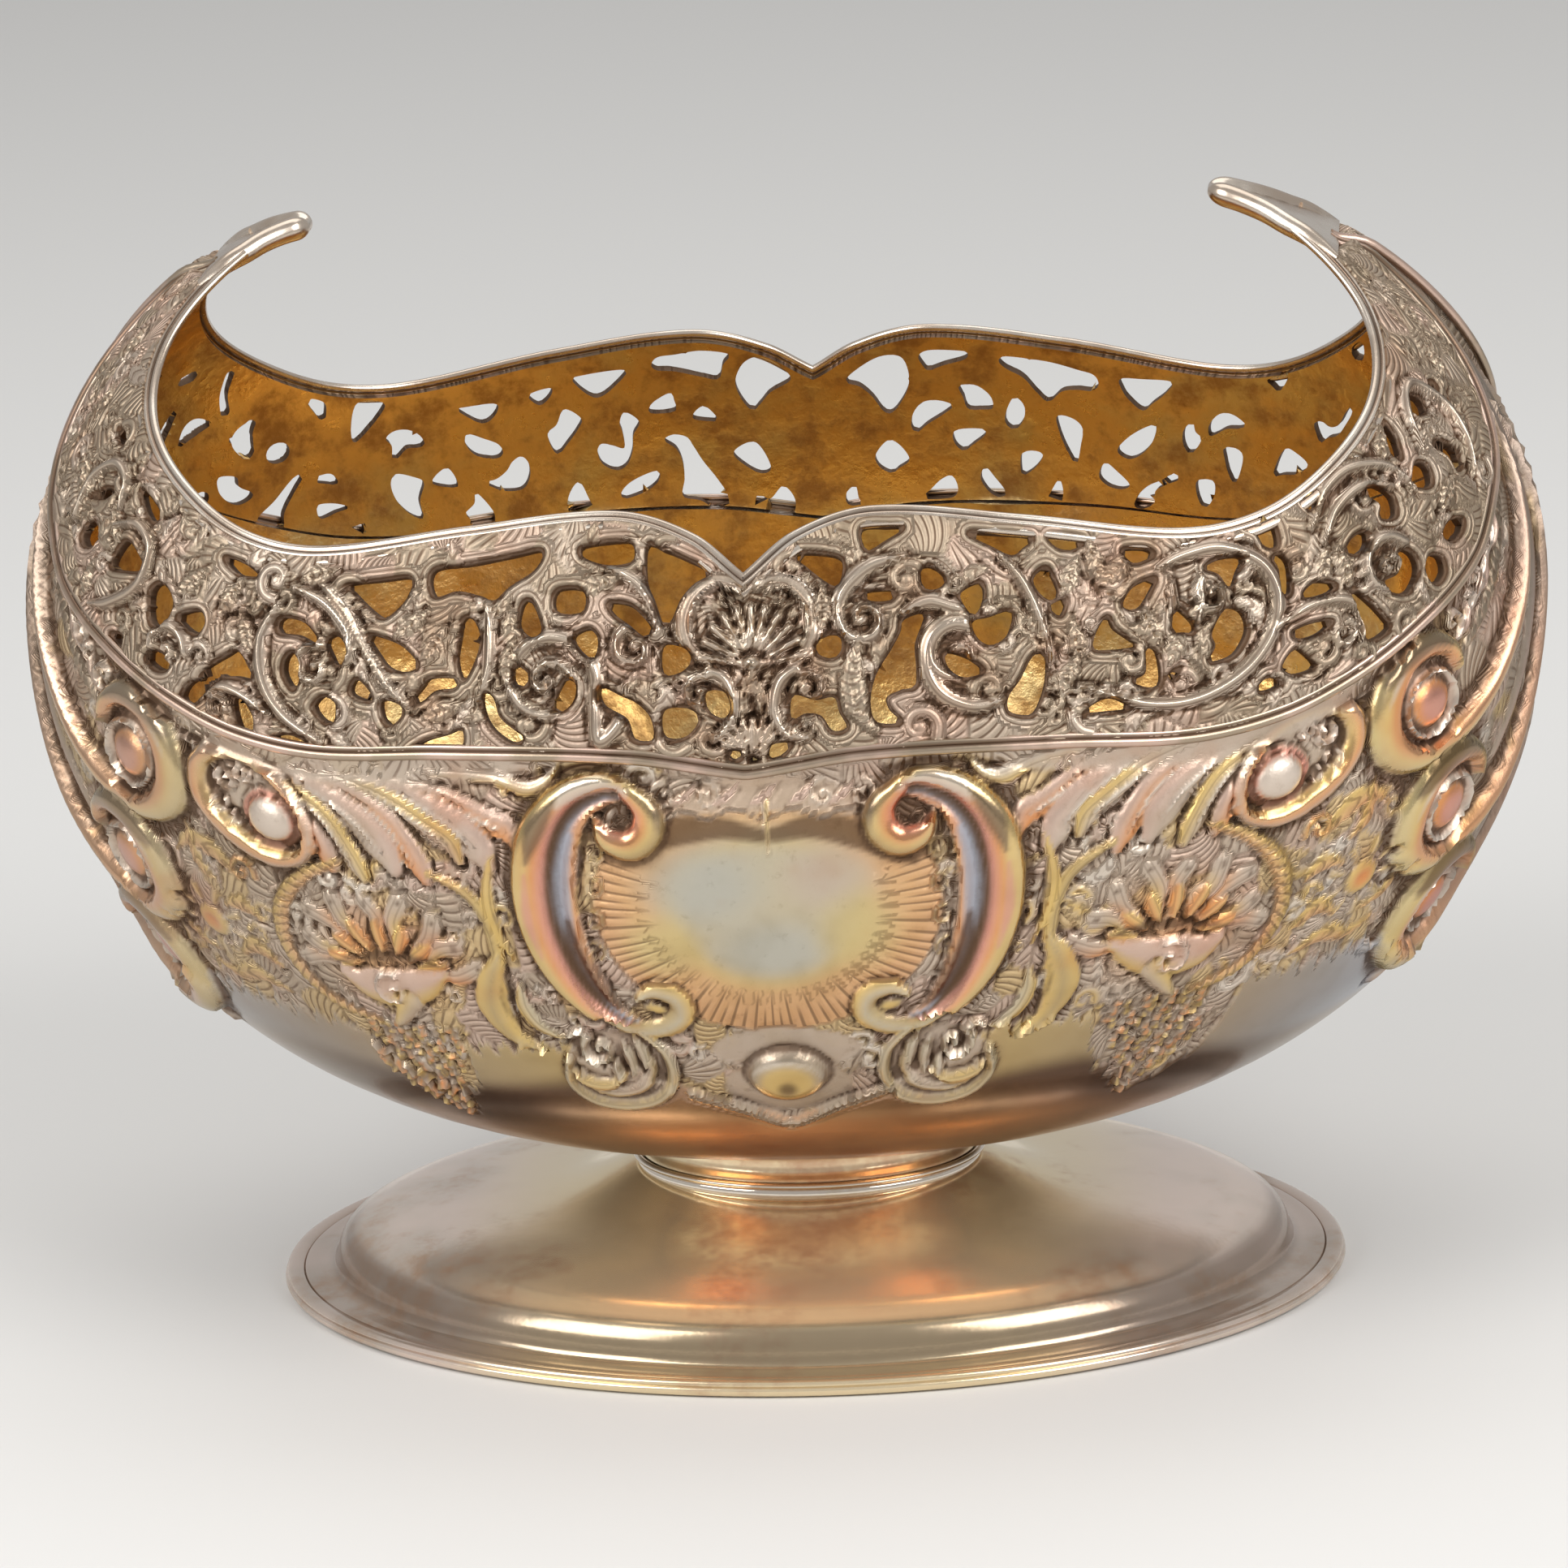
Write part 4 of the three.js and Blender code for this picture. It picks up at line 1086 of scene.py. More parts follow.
    def _end_flutes(self, relief: Relief) -> None:
        """The flutes and ropes that sweep up the end to the horn."""
        for points in (
            (83, 36, .8, 92, 43, 1.4, 98, 54, 1.7, 101, 68, 1.5, 102.6, 84, 1.2, 103.4, 100, .8),
            (87, 60, .8, 92.4, 69, 1.5, 97, 81, 1.6, 100.2, 95, 1.3, 102, 110, .8),
            (80, 64.6, .8, 86.2, 70, 1.4, 91.6, 78.6, 1.6, 96, 91, 1.4, 99, 104, 1.1, 101.2, 116, .6),
        ):
            relief.stroke(points, 0.6, (BEIGE, ROSE, BEIGE))
        relief.stroke((76.6, 72.4, .6, 82.6, 77.6, 1, 88, 86, 1.1, 92, 97, 1.1, 95.4, 108, .9, 98.6, 117, .5), 0.7,
            (GREY,), Profile.ROPE, 40)
        relief.stroke((73.6, 73.4, .3, 80, 77.9, .55, 85.4, 84.8, .6, 89.9, 92.8, .6, 93.3, 103, .55, 97, 113, .4),
            0.7, (PALE, ROSE))
        for k, (s, t) in enumerate(((76.2, 76.6), (80.4, 80.6), (84, 84.9), (87.2, 90.2), (89.6, 96), (92.2, 102))):
            size = 1.9 - 0.12 * k
            relief.coil((s, t), size, 230, 430, size * 0.36, 1.0, (PALE, ROSE))
            relief.stroke((s + 1.1, t - 1.9, .3, s + 2.7, t - .2, .6, s + 2.6, t + 2, .3), 0.7, (ROSE,))
        relief.stroke((104.6, 38, 1, 104.6, 64, 1.3, 104.6, 90, 1.2, 104.6, 112, .8), 0.5, (BEIGE,))

    @staticmethod
    def _under_shoulder(relief: Relief, form: BowlForm) -> None:
        """The plain burnished band under the shoulder wire."""
        depth = form.shoulder(relief.s[0])[None, :] - relief.t
        spread = smooth((np.abs(relief.s - 1.5) - 18) / 10) * smooth((74 - np.abs(relief.s)) / 12)
        plain = smooth((2.4 * spread + 0.7 - depth) / 0.5)
        relief.height += (relief.base + 0.45 - relief.height) * plain
        relief.matte += (0.6 - relief.matte) * plain
        relief.tint += (BEIGE.linear() - relief.tint) * (plain * 0.8)[..., None]


@dataclass
class Bowl:
    """The embossed body, from the underside to the shoulder line, made in a front and a back half."""

    form: BowlForm
    ornament: BodyOrnament
    wall: float = 0.9
    relief_floor: float = 23.0
    lip_reach: float = 1.9
    lip_height: float = 0.15
    lip_run: float = 1.5
    tuck_level: float = 110.0
    columns: int = 561
    plain_rows: int = 14
    relief_rows: int = 112
    lining_rows: int = 30
    cavity_reach: int = 3
    lining_reach: int = 4
    lining_depth: float = 0.75

    def build(self, outside: bpy.types.Material, lining: bpy.types.Material) -> None:
        """Makes both halves.

        Args:
            outside: The material of the outer face.
            lining: The material of the inner face.
        """
        relief = self._relief()
        hollow = blurred(relief.height, self.cavity_reach) - relief.height
        for side in Side:
            piece = self._half(side, relief, hollow)
            dress(piece, ("bowl_shell",), (outside, lining), 50)

    def _chart(self) -> tuple[Array, Array]:
        """The chart places of the outer face, from the underside up."""
        columns = np.linspace(-self.form.end, self.form.end, self.columns)
        low = np.linspace(0, 1, self.plain_rows, endpoint=False)[:, None]
        high = np.linspace(0, 1, self.relief_rows)[:, None]
        plain = self.form.pole + (self.relief_floor - self.form.pole) * low
        embossed = self.relief_floor + (self.form.shoulder(columns)[None, :] - 0.2 - self.relief_floor) * high
        t = np.vstack([np.repeat(plain, self.columns, axis=1), embossed])
        return np.broadcast_to(columns, t.shape).copy(), t

    def _relief(self) -> Relief:
        """The ornament on the outer face; both ends match, so that the two halves meet."""
        s, t = self._chart()
        relief = Relief.plain(s, t, BEIGE)
        self.ornament.draw(relief, self.form)
        relief.height[: self.plain_rows] = 0
        lip = smooth((t - self.form.shoulder(s) + self.lip_reach) / self.lip_run)
        relief.height += np.maximum(self.lip_height - relief.height, 0) * lip
        self.form.tuck(relief, self.tuck_level)
        share = smooth((np.abs(s) - self.form.end + 3) / 3)
        relief.height += (relief.height[:, ::-1] - relief.height) * share / 2
        relief.tint += (relief.tint[:, ::-1] - relief.tint) * share[..., None] / 2
        relief.matte += (relief.matte[:, ::-1] - relief.matte) * share / 2
        return relief

    def _half(self, side: Side, relief: Relief, hollow: Array) -> bpy.types.Object:
        """Makes one half as a closed sheet of metal.

        Args:
            side: The long side.
            relief: The ornament.
            hollow: How deep each place lies under its surroundings.

        Returns:
            The piece, with the lining's faces marked for its second material.
        """
        outer = self.form.place(relief.s, relief.t, side)
        outer += self.form.normal(relief.s, relief.t, side) * relief.height[..., None]
        inner_height = blurred(lowest_near(relief.height, self.lining_reach), self.lining_reach)
        inner_height -= self.wall * self.lining_depth
        picked = np.unique(np.round(np.linspace(len(relief.s) - 1, 0, self.lining_rows)).astype(int))[::-1]
        s, t = relief.s[picked], relief.t[picked]
        inner = self.form.place(s, t, side) + self.form.normal(s, t, side) * inner_height[picked][..., None]
        inner[-1] = (0, 0, self.form.bottom + self.wall)
        outer[0] = (0, 0, self.form.bottom)
        points = np.concatenate([outer, inner])
        piece = flat_grid(f"bowl_{side.name.lower()}_half", len(points), self.columns)
        set_points(piece, points)
        blank = np.zeros(inner.shape[:2])
        set_attribute(piece, "hollow", np.concatenate([hollow, blank]).ravel())
        for name, values in (("matte", relief.matte), ("line", relief.line), ("lined", relief.lined)):
            set_attribute(piece, name, np.concatenate([values, blank]).ravel())
        tint = np.concatenate([relief.tint, np.ones(inner.shape)])
        set_attribute(piece, "tint", tint.reshape(-1, 3))
        inside = np.repeat(np.arange(len(points) - 1) >= len(outer), self.columns - 1)
        piece.data.polygons.foreach_set("material_index", inside.astype(np.int32))
        close_and_turn_out(piece)
        return piece


@dataclass
class Gallery:
    """A pierced and chased panel between the shoulder line and the rim."""

    form: BowlForm
    side: Side
    holes: Sequence[Points]
    slots: Sequence[Points]
    wall: float = 0.8
    columns: int = 621
    rows: int = 76
    end_angle: float = 1.6
    highest: float = 113.4
    tuck_level: float = 110.4
    edge_reach: float = 4.0
    cavity_reach: int = 4
    matte: float = 0.85
    chase_depth: float = 0.26
    reeding: float = 0.8
    rounding: float = 0.5

    def build(self, outside: bpy.types.Material, lining: bpy.types.Material) -> None:
        """Makes the panel.

        Args:
            outside: The material of the outer face.
            lining: The material of the inner face.
        """
        s, t = self._chart()
        s, t, inside, edge = self._pierce(s, t)
        relief = Relief.plain(s, t, GREY)
        relief.matte += self.matte
        relief.chase_depth, relief.reeding = self.chase_depth, self.reeding
        draw_gallery_ground(relief, edge)
        if self.side is Side.FRONT:
            draw_gallery_front(relief)
        relief.height *= smooth(edge / self.rounding) * 0.9 + 0.1
        self.form.tuck(relief, self.tuck_level)
        hollow = blurred(relief.height, self.cavity_reach) - relief.height
        self._make(relief, inside, hollow, outside, lining)

    def _chart(self) -> tuple[Array, Array]:
        """The chart places of the panel."""
        end = self.form.s_at(self.end_angle)
        columns = np.linspace(-end, end, self.columns)
        low = self.form.shoulder(columns) + 0.05
        high = np.minimum(self.form.rim(columns, self.side) - 0.1, self.form.t_at(self.highest))
        t = low + (high - low) * np.linspace(0, 1, self.rows)[:, None]
        return np.broadcast_to(columns, t.shape).copy(), t

    def _outlines(self) -> list[Array]:
        """The smooth outlines of the openings."""
        outlines = [curve_through(np.reshape(hole, (-1, 2)).astype(float), 0.25, True) for hole in self.holes]
        for slot in self.slots:
            line = curve_through(np.reshape(slot, (-1, 3)).astype(float), 0.25)
            if len(line) == 1 or np.ptp(line[:, :2]) < 0.01:
                line = np.vstack([line[:1], line[:1] + (0.1, 0, 0)])
            ahead = np.gradient(line[:, :2], axis=0)
            heading = np.arctan2(ahead[:, 1], ahead[:, 0])
            caps = np.linspace(-math.pi / 2, math.pi / 2, 9)
            first, last = np.repeat(line[:1], len(caps), 0), np.repeat(line[-1:], len(caps), 0)
            parts = (
                (line[::-1], heading[::-1] + math.pi / 2), (first, heading[0] + math.pi - caps[::-1]),
                (line, heading - math.pi / 2), (last, heading[-1] + caps),
            )
            outlines.append(np.vstack([
                place[:, :2] + place[:, 2:] * np.stack([np.cos(way), np.sin(way)], axis=1) for place, way in parts
            ]))
        return outlines

    def _pierce(self, s: Array, t: Array) -> tuple[Array, Array, Array, Array]:
        """Finds the openings on the chart and draws the grid onto their edges.

        Args:
            s: Places round the bowl.
            t: Places up the side.

        Returns:
            The moved places, which points lie in an opening, and how far each point is from an edge.
        """
        places = np.stack([s.ravel(), t.ravel()], axis=1)
        inside = np.zeros(len(places), bool)
        edge = np.full(len(places), self.edge_reach)
        nearest = places.copy()
        for outline in self._outlines():
            low, high = outline.min(0) - self.edge_reach, outline.max(0) + self.edge_reach
            index = np.flatnonzero(((places > low) & (places < high)).all(axis=1))
            here = places[index]
            gap = np.hypot(here[:, None, 0] - outline[None, :, 0], here[:, None, 1] - outline[None, :, 1])
            closest = gap.argmin(axis=1)
            distance = gap[np.arange(len(here)), closest]
            better = distance < edge[index]
            edge[index[better]] = distance[better]
            nearest[index[better]] = outline[closest[better]]
            after = np.roll(outline, -1, axis=0)
            x, y = here[:, :1], here[:, 1:]
            spans = (outline[:, 1] > y) != (after[:, 1] > y)
            rise = np.where(after[:, 1] == outline[:, 1], 1e-9, after[:, 1] - outline[:, 1])
            crossing = outline[:, 0] + (y - outline[:, 1]) * (after[:, 0] - outline[:, 0]) / rise
            inside[index] |= (spans & (x < crossing)).sum(axis=1) % 2 == 1
        inside = inside.reshape(s.shape)
        inside[[0, -1]] = False
        inside[:, [0, -1]] = False
        outer = np.pad(~inside, 1)
        near_metal = np.any(
            [outer[1 + i:outer.shape[0] - 1 + i, 1 + j:outer.shape[1] - 1 + j] for i in (-1, 0, 1) for j in (-1, 0, 1)],
            axis=0,
        )
        on_edge = (inside & near_metal).ravel()
        places[on_edge] = nearest[on_edge]
        edge[on_edge] = 0
        return places[:, 0].reshape(s.shape), places[:, 1].reshape(s.shape), inside, edge.reshape(s.shape)

    def _make(
        self, relief: Relief, inside: Array, hollow: Array, outside: bpy.types.Material, lining: bpy.types.Material
    ) -> None:
        """Cuts the openings, gives the sheet its thickness and raises the relief."""
        piece = flat_grid(f"gallery_{self.side.name.lower()}_panel", self.rows, self.columns)
        set_points(piece, self.form.place(relief.s, relief.t, self.side))
        for name, values in (("s", relief.s), ("t", relief.t), ("rise", relief.height), ("hollow", hollow),
                             ("matte", relief.matte), ("line", relief.line), ("lined", relief.lined)):
            set_attribute(piece, name, values.ravel())
        set_attribute(piece, "tint", relief.tint.reshape(-1, 3))
        open_face = inside[:-1, :-1] & inside[1:, :-1] & inside[:-1, 1:] & inside[1:, 1:]
        pick(piece)
        bpy.ops.object.mode_set(mode="EDIT")
        bpy.ops.mesh.select_mode(type="FACE")
        bpy.ops.mesh.select_all(action="DESELECT")
        bpy.ops.object.mode_set(mode="OBJECT")
        piece.data.polygons.foreach_set("select", open_face.ravel())
        bpy.ops.object.mode_set(mode="EDIT")
        bpy.ops.mesh.delete(type="FACE")
        bpy.ops.object.mode_set(mode="OBJECT")
        s, t = get_attribute(piece, "s"), get_attribute(piece, "t")
        normal = self.form.normal(s, t, self.side)
        face = piece.data.polygons[0]
        if np.dot(face.normal, normal[face.vertices[0]]) < 0:
            bpy.ops.object.mode_set(mode="EDIT")
            bpy.ops.mesh.select_all(action="SELECT")
            bpy.ops.mesh.flip_normals()
            bpy.ops.object.mode_set(mode="OBJECT")
        outer_count = len(s)
        sheet = piece.modifiers.new("sheet", "SOLIDIFY")
        sheet.thickness, sheet.offset, sheet.material_offset = self.wall * MM, -1, 1
        for material in (outside, lining):
            piece.data.materials.append(material)
        bpy.ops.object.modifier_apply(modifier=sheet.name)
        points = get_points(piece)
        points[:outer_count] += normal * get_attribute(piece, "rise")[:outer_count, None]
        set_points(piece, points)
        close_and_turn_out(piece, 1e-6)
        dress(piece, (f"gallery_{self.side.name.lower()}",), (), 50)


# Openings, read from the photograph: s and t of each point of an outline, or of a slot with its half width.
FRONT_HOLES: Sequence[Points] = (
    (-16.5, 92.3, -13, 92.8, -11.5, 92.6, -11.4, 90.9, -14, 90.5, -16.5, 91.3),
    (-9.8, 92.4, -8, 91.8, -6, 91, -3.5, 89.6, -5, 88.5, -6.3, 87, -7.2, 85, -8, 84.5, -9, 87, -9.8, 89),
    (-18.9, 85.8, -16.3, 85.8, -16.3, 87.8, -18.9, 87.8),
    (-13.5, 86.6, -11.5, 86.4, -10, 85.2, -9.2, 84, -10, 83.4, -11.6, 84.6, -13, 85.6),
    (-17, 83.2, -15.5, 84, -14.6, 83, -15, 81.2, -16.2, 81.8),
    (-8, 82.4, -6, 82.2, -5.2, 81, -6.3, 79.8, -8, 79.7),
    (-19, 76.5, -17.8, 79, -16.8, 78.6, -17, 77, -18.2, 75.9),
    (-14.2, 78.3, -12.3, 77.5, -10.6, 76.7, -9.3, 75.2, -9.2, 73.2, -11, 73.2, -11.8, 75.2, -14, 76.6),
    (-8, 76, -5.5, 76.2, -4.6, 75, -6, 73.4, -8, 73.5),
    (-3.8, 77.8, -2, 77.8, -1.4, 76.2, -2.2, 75.2, -3.6, 76),
    (-1.5, 71.2, -.6, 71.2, -.6, 71.9, -1.5, 71.9),
    (5.3, 91.2, 8, 91.2, 10, 90.6, 10, 89, 9.4, 88, 8.2, 88.6, 6.5, 90),
    (12.4, 93.6, 15, 93.7, 16.5, 93.5, 14.5, 92.3, 12.7, 91.5),
    (7.2, 82.2, 8.3, 83.1, 9.5, 83, 9.7, 81.8, 8.9, 80.9, 7.6, 81.2),
    (4.8, 77.3, 7, 76.8, 8.8, 77, 9.3, 75.5, 10, 74, 8.6, 73.7, 7.5, 75.2, 6, 75.5, 4.6, 75),
    (16, 84.4, 18, 84.8, 17, 82, 17, 79.5, 16.8, 77.8, 15.5, 77.5, 14, 76.8, 14.2, 75.6, 15.3, 74.3, 13, 74.4, 12.4,
     76.3, 13, 79, 14.6, 81.5, 15.6, 83.2),
    (12.2, 87.2, 15, 87.3, 14.8, 86.4, 12.8, 86.4),
    (2.6, 72.5, 4.4, 72.6, 3.6, 71.5, 2.4, 71.2),
    (-32.2, 89.5, -28, 90.3, -24, 91.2, -21, 91.8, -21.5, 90, -24, 88.2, -25.5, 86.8, -27, 87.2, -29.5, 87.6, -31.8,
     87),
    (-41.5, 87.6, -38, 88.2, -34.7, 88.6, -34.8, 86.8, -36, 85.3, -37.2, 84.6, -39, 85.6, -40.8, 87),
    (-38.6, 82.6, -36.6, 82.4, -34.6, 81.6, -33.2, 80, -34.5, 79.3, -36.2, 79.6, -37.4, 80.8),
    (-28.5, 84.8, -27.4, 84.6, -26.7, 82.8, -27.3, 80.4, -28.3, 78.8, -29, 80.6, -28.8, 82.8),
    (-22.3, 86.6, -21.4, 86.4, -20.4, 84, -21.4, 83.2, -22.7, 84.3),
    (-23, 80.3, -21.7, 79.6, -21.9, 78.4, -23, 78.6),
    (-26.2, 77.6, -25.2, 77, -24.6, 75.2, -23.2, 74, -22.2, 73.2, -23.4, 72.7, -25.3, 74, -26.2, 75.8),
    (-34, 76, -32.6, 76.5, -31.2, 77.6, -29.2, 78, -29.2, 78.8, -31.8, 78.7, -32.6, 77.8),
    (-37, 76.2, -35.2, 76, -34.9, 75, -36, 73.9, -36.8, 74.4),
    (-40.3, 76.8, -39.7, 78.2, -38.3, 77, -38.3, 76.2),
    (-44.5, 75.2, -43.4, 76.2, -42.2, 75.6, -42.4, 73.8, -43.4, 73.8, -44.2, 74.5),
    (-47.8, 79.6, -47, 80.4, -46.2, 79.4, -46.3, 77.6, -46.9, 76.8, -47.9, 78.2),
    (-43.2, 81.8, -42, 82.4, -40.9, 80.9, -41.8, 79.4, -42.6, 80.4),
    (-48.9, 83.2, -48.2, 83.8, -46, 83.5, -44.5, 82.2, -44.6, 81.5, -46.6, 82.2, -48.6, 82.3),
    (-57.8, 77.4, -55, 79.2, -53.6, 79.9, -52.4, 78.6, -51.9, 77.3, -54, 77.3, -56.2, 76.9, -58, 76),
    (-54, 75, -52.8, 74.8, -51.8, 73.2, -52.2, 71.6, -53, 71.4, -53.8, 73),
    (-50, 71.2, -47.6, 72, -45.5, 71.2, -47, 70.6, -49.6, 70.6),
    (-34, 71.2, -32.4, 72.4, -30, 73.2, -28.6, 73.8, -28.5, 72.4, -29.6, 71.3, -32, 71.3),
    (-79, 92.8, -77, 94, -75.5, 94, -76.5, 93),
    (-78.8, 88.6, -77.6, 90.3, -76, 89.4, -76.2, 88, -77.8, 87.6),
    (-72.4, 86.4, -71.3, 88.9, -70, 89, -68, 87.5, -67.8, 86.6, -70, 86.2),
    (-65.6, 84.8, -64.4, 85.6, -63, 84.8, -62.5, 83.4, -63.6, 81.4, -65, 81.4, -65.6, 83),
    (-61.4, 82.6, -58.8, 83.4, -58, 82.4, -58.8, 81.2, -60.4, 81.6),
    (-65.4, 77.6, -64.5, 78.6, -62.8, 78.2, -62.4, 77.2, -63.8, 76.8),
    (-70.8, 79.4, -69.2, 79.4, -69.6, 78.4),
    (-60.6, 74.4, -59.6, 75.8, -57.5, 76.8, -55.4, 77.3, -57, 75.8, -58.8, 74.2, -60, 73.8),
    (-71, 94.9, -68.5, 93.8, -67, 92.6, -67.6, 91.8, -69.5, 93),
    (-79.8, 100.6, -78, 100, -77, 98.9, -78.6, 99.2),
    (-56.5, 89.2, -54, 88.8, -52.2, 87.8, -54.6, 87.8),
    (18.1, 89.3, 19.3, 89.4, 20.4, 88.2, 19.6, 87.3, 18.2, 87.5),
    (23.3, 92.6, 26, 92.4, 29.6, 91.8, 28.6, 90.8, 27.4, 90.2, 25.5, 91.2),
    (31.5, 91.8, 34.8, 91.2, 33.8, 90.3, 32.2, 90.6),
    (21.8, 86.6, 23.8, 87.6, 24.1, 86.3, 23.5, 84.9, 22.7, 84.6),
    (22.8, 83.8, 24.5, 84.2, 26.8, 84.6, 26.2, 82.3, 24.5, 81.4, 23.2, 82.2),
    (29.3, 87.6, 30.6, 88.6, 31.3, 87.4, 31.6, 86, 30.8, 85.4, 29.8, 86.2),
    (30.7, 84.8, 32.3, 85.4, 31.6, 83.8),
    (38.1, 84.4, 39.3, 85.9, 41.6, 86.6, 41, 85.4, 39.8, 84, 38.6, 83.8),
    (38.9, 89.7, 41.2, 89.6, 41.8, 88.9, 39.8, 88.4),
    (34.7, 80.3, 35.2, 82, 36.3, 83.2, 36.9, 82, 38.3, 80.8, 39, 80.1, 36.5, 80),
    (42.9, 81.2, 43.4, 83.3, 44.9, 81.9, 45, 80.9, 43.8, 81),
    (47, 80.6, 48.6, 82.7, 50.2, 82.3, 50.7, 80.8, 50.2, 79.4, 48.8, 78, 46.5, 77.8, 47.2, 79.2),
    (20, 80.8, 22, 80.2, 23.5, 78.8, 21.6, 78.4, 20.2, 79.4),
    (28.6, 80, 29.8, 79.8, 29.6, 77, 28.6, 74.6, 27.6, 74.2, 26, 74.8, 26, 76.2, 27.2, 77.8),
    (40, 79.6, 41, 79.3, 41.3, 76.6, 40.6, 75.8, 38.5, 76.6, 39.8, 77.4),
    (33.4, 74, 35.2, 75.1, 36.6, 75, 38, 74, 35.5, 73.9),
    (47.2, 87.1, 49, 87.8, 51.2, 87.6, 50.5, 86.3, 49.5, 84.8, 48.5, 86.3),
    (52, 91.2, 55, 91.4, 55.6, 89.5, 55.2, 88.2, 54, 88.6, 53.4, 90),
    (54.7, 87.2, 55.5, 87.4, 56.2, 86.2, 55.8, 83.5, 55, 83.6, 55.1, 86),
    (57.2, 82.9, 58.6, 84, 60.8, 83.6, 60.6, 83, 58.8, 82.7),
    (55.5, 79.4, 57.5, 80, 60, 79.9, 58.5, 78.9, 56.5, 78.7),
    (54.3, 76.4, 55.6, 77.7, 56.8, 77, 57.8, 75.6, 56, 75.2, 54.7, 75.6),
    (51.4, 74.4, 52.6, 75.3, 54, 74.6, 52.6, 74),
    (42, 76.8, 43.4, 77.5, 42.6, 76.4),
    (79.2, 95.4, 80.4, 95.6, 82.2, 94.2, 82, 92.4, 81, 92.2, 80.6, 93.8),
    (74, 92, 75.4, 93.9, 76.8, 93.4, 76.6, 91.6, 75.4, 91.3),
    (67.3, 92.2, 69, 92.6, 70.6, 91.2, 70.2, 89.2, 68.4, 89.3, 68.8, 90.8),
    (63.2, 86.8, 64.4, 87.9, 65.9, 88.1, 65.6, 86.8, 64.2, 86.2),
    (69.6, 85.6, 71.2, 84.8, 71.4, 83, 69.8, 81.3, 67.8, 81.6, 66.9, 82.8, 68.9, 83.4),
    (72.6, 83.4, 73.4, 84.3, 74.9, 83.8, 75, 82.3, 73.8, 81.4, 72.8, 82),
    (76, 86, 77.4, 87.2, 79.3, 87, 78.6, 85.8, 77, 85.2),
    (62.8, 82.6, 64.2, 81.6, 66.3, 79.2, 66.8, 78, 64.3, 77.3, 63.6, 79.4),
    (59.5, 92.5, 61.4, 93.2, 60.6, 91.4),
    (73.6, 99, 74.2, 97, 73.6, 94.8, 72.8, 96),
)

FRONT_SLOTS: Sequence[Points] = (
    (79.7, 99.9, 1.2, 79.9, 99.9, 1.2),
    (84.2, 101.2, .5, 84.4, 101.2, .5),
)

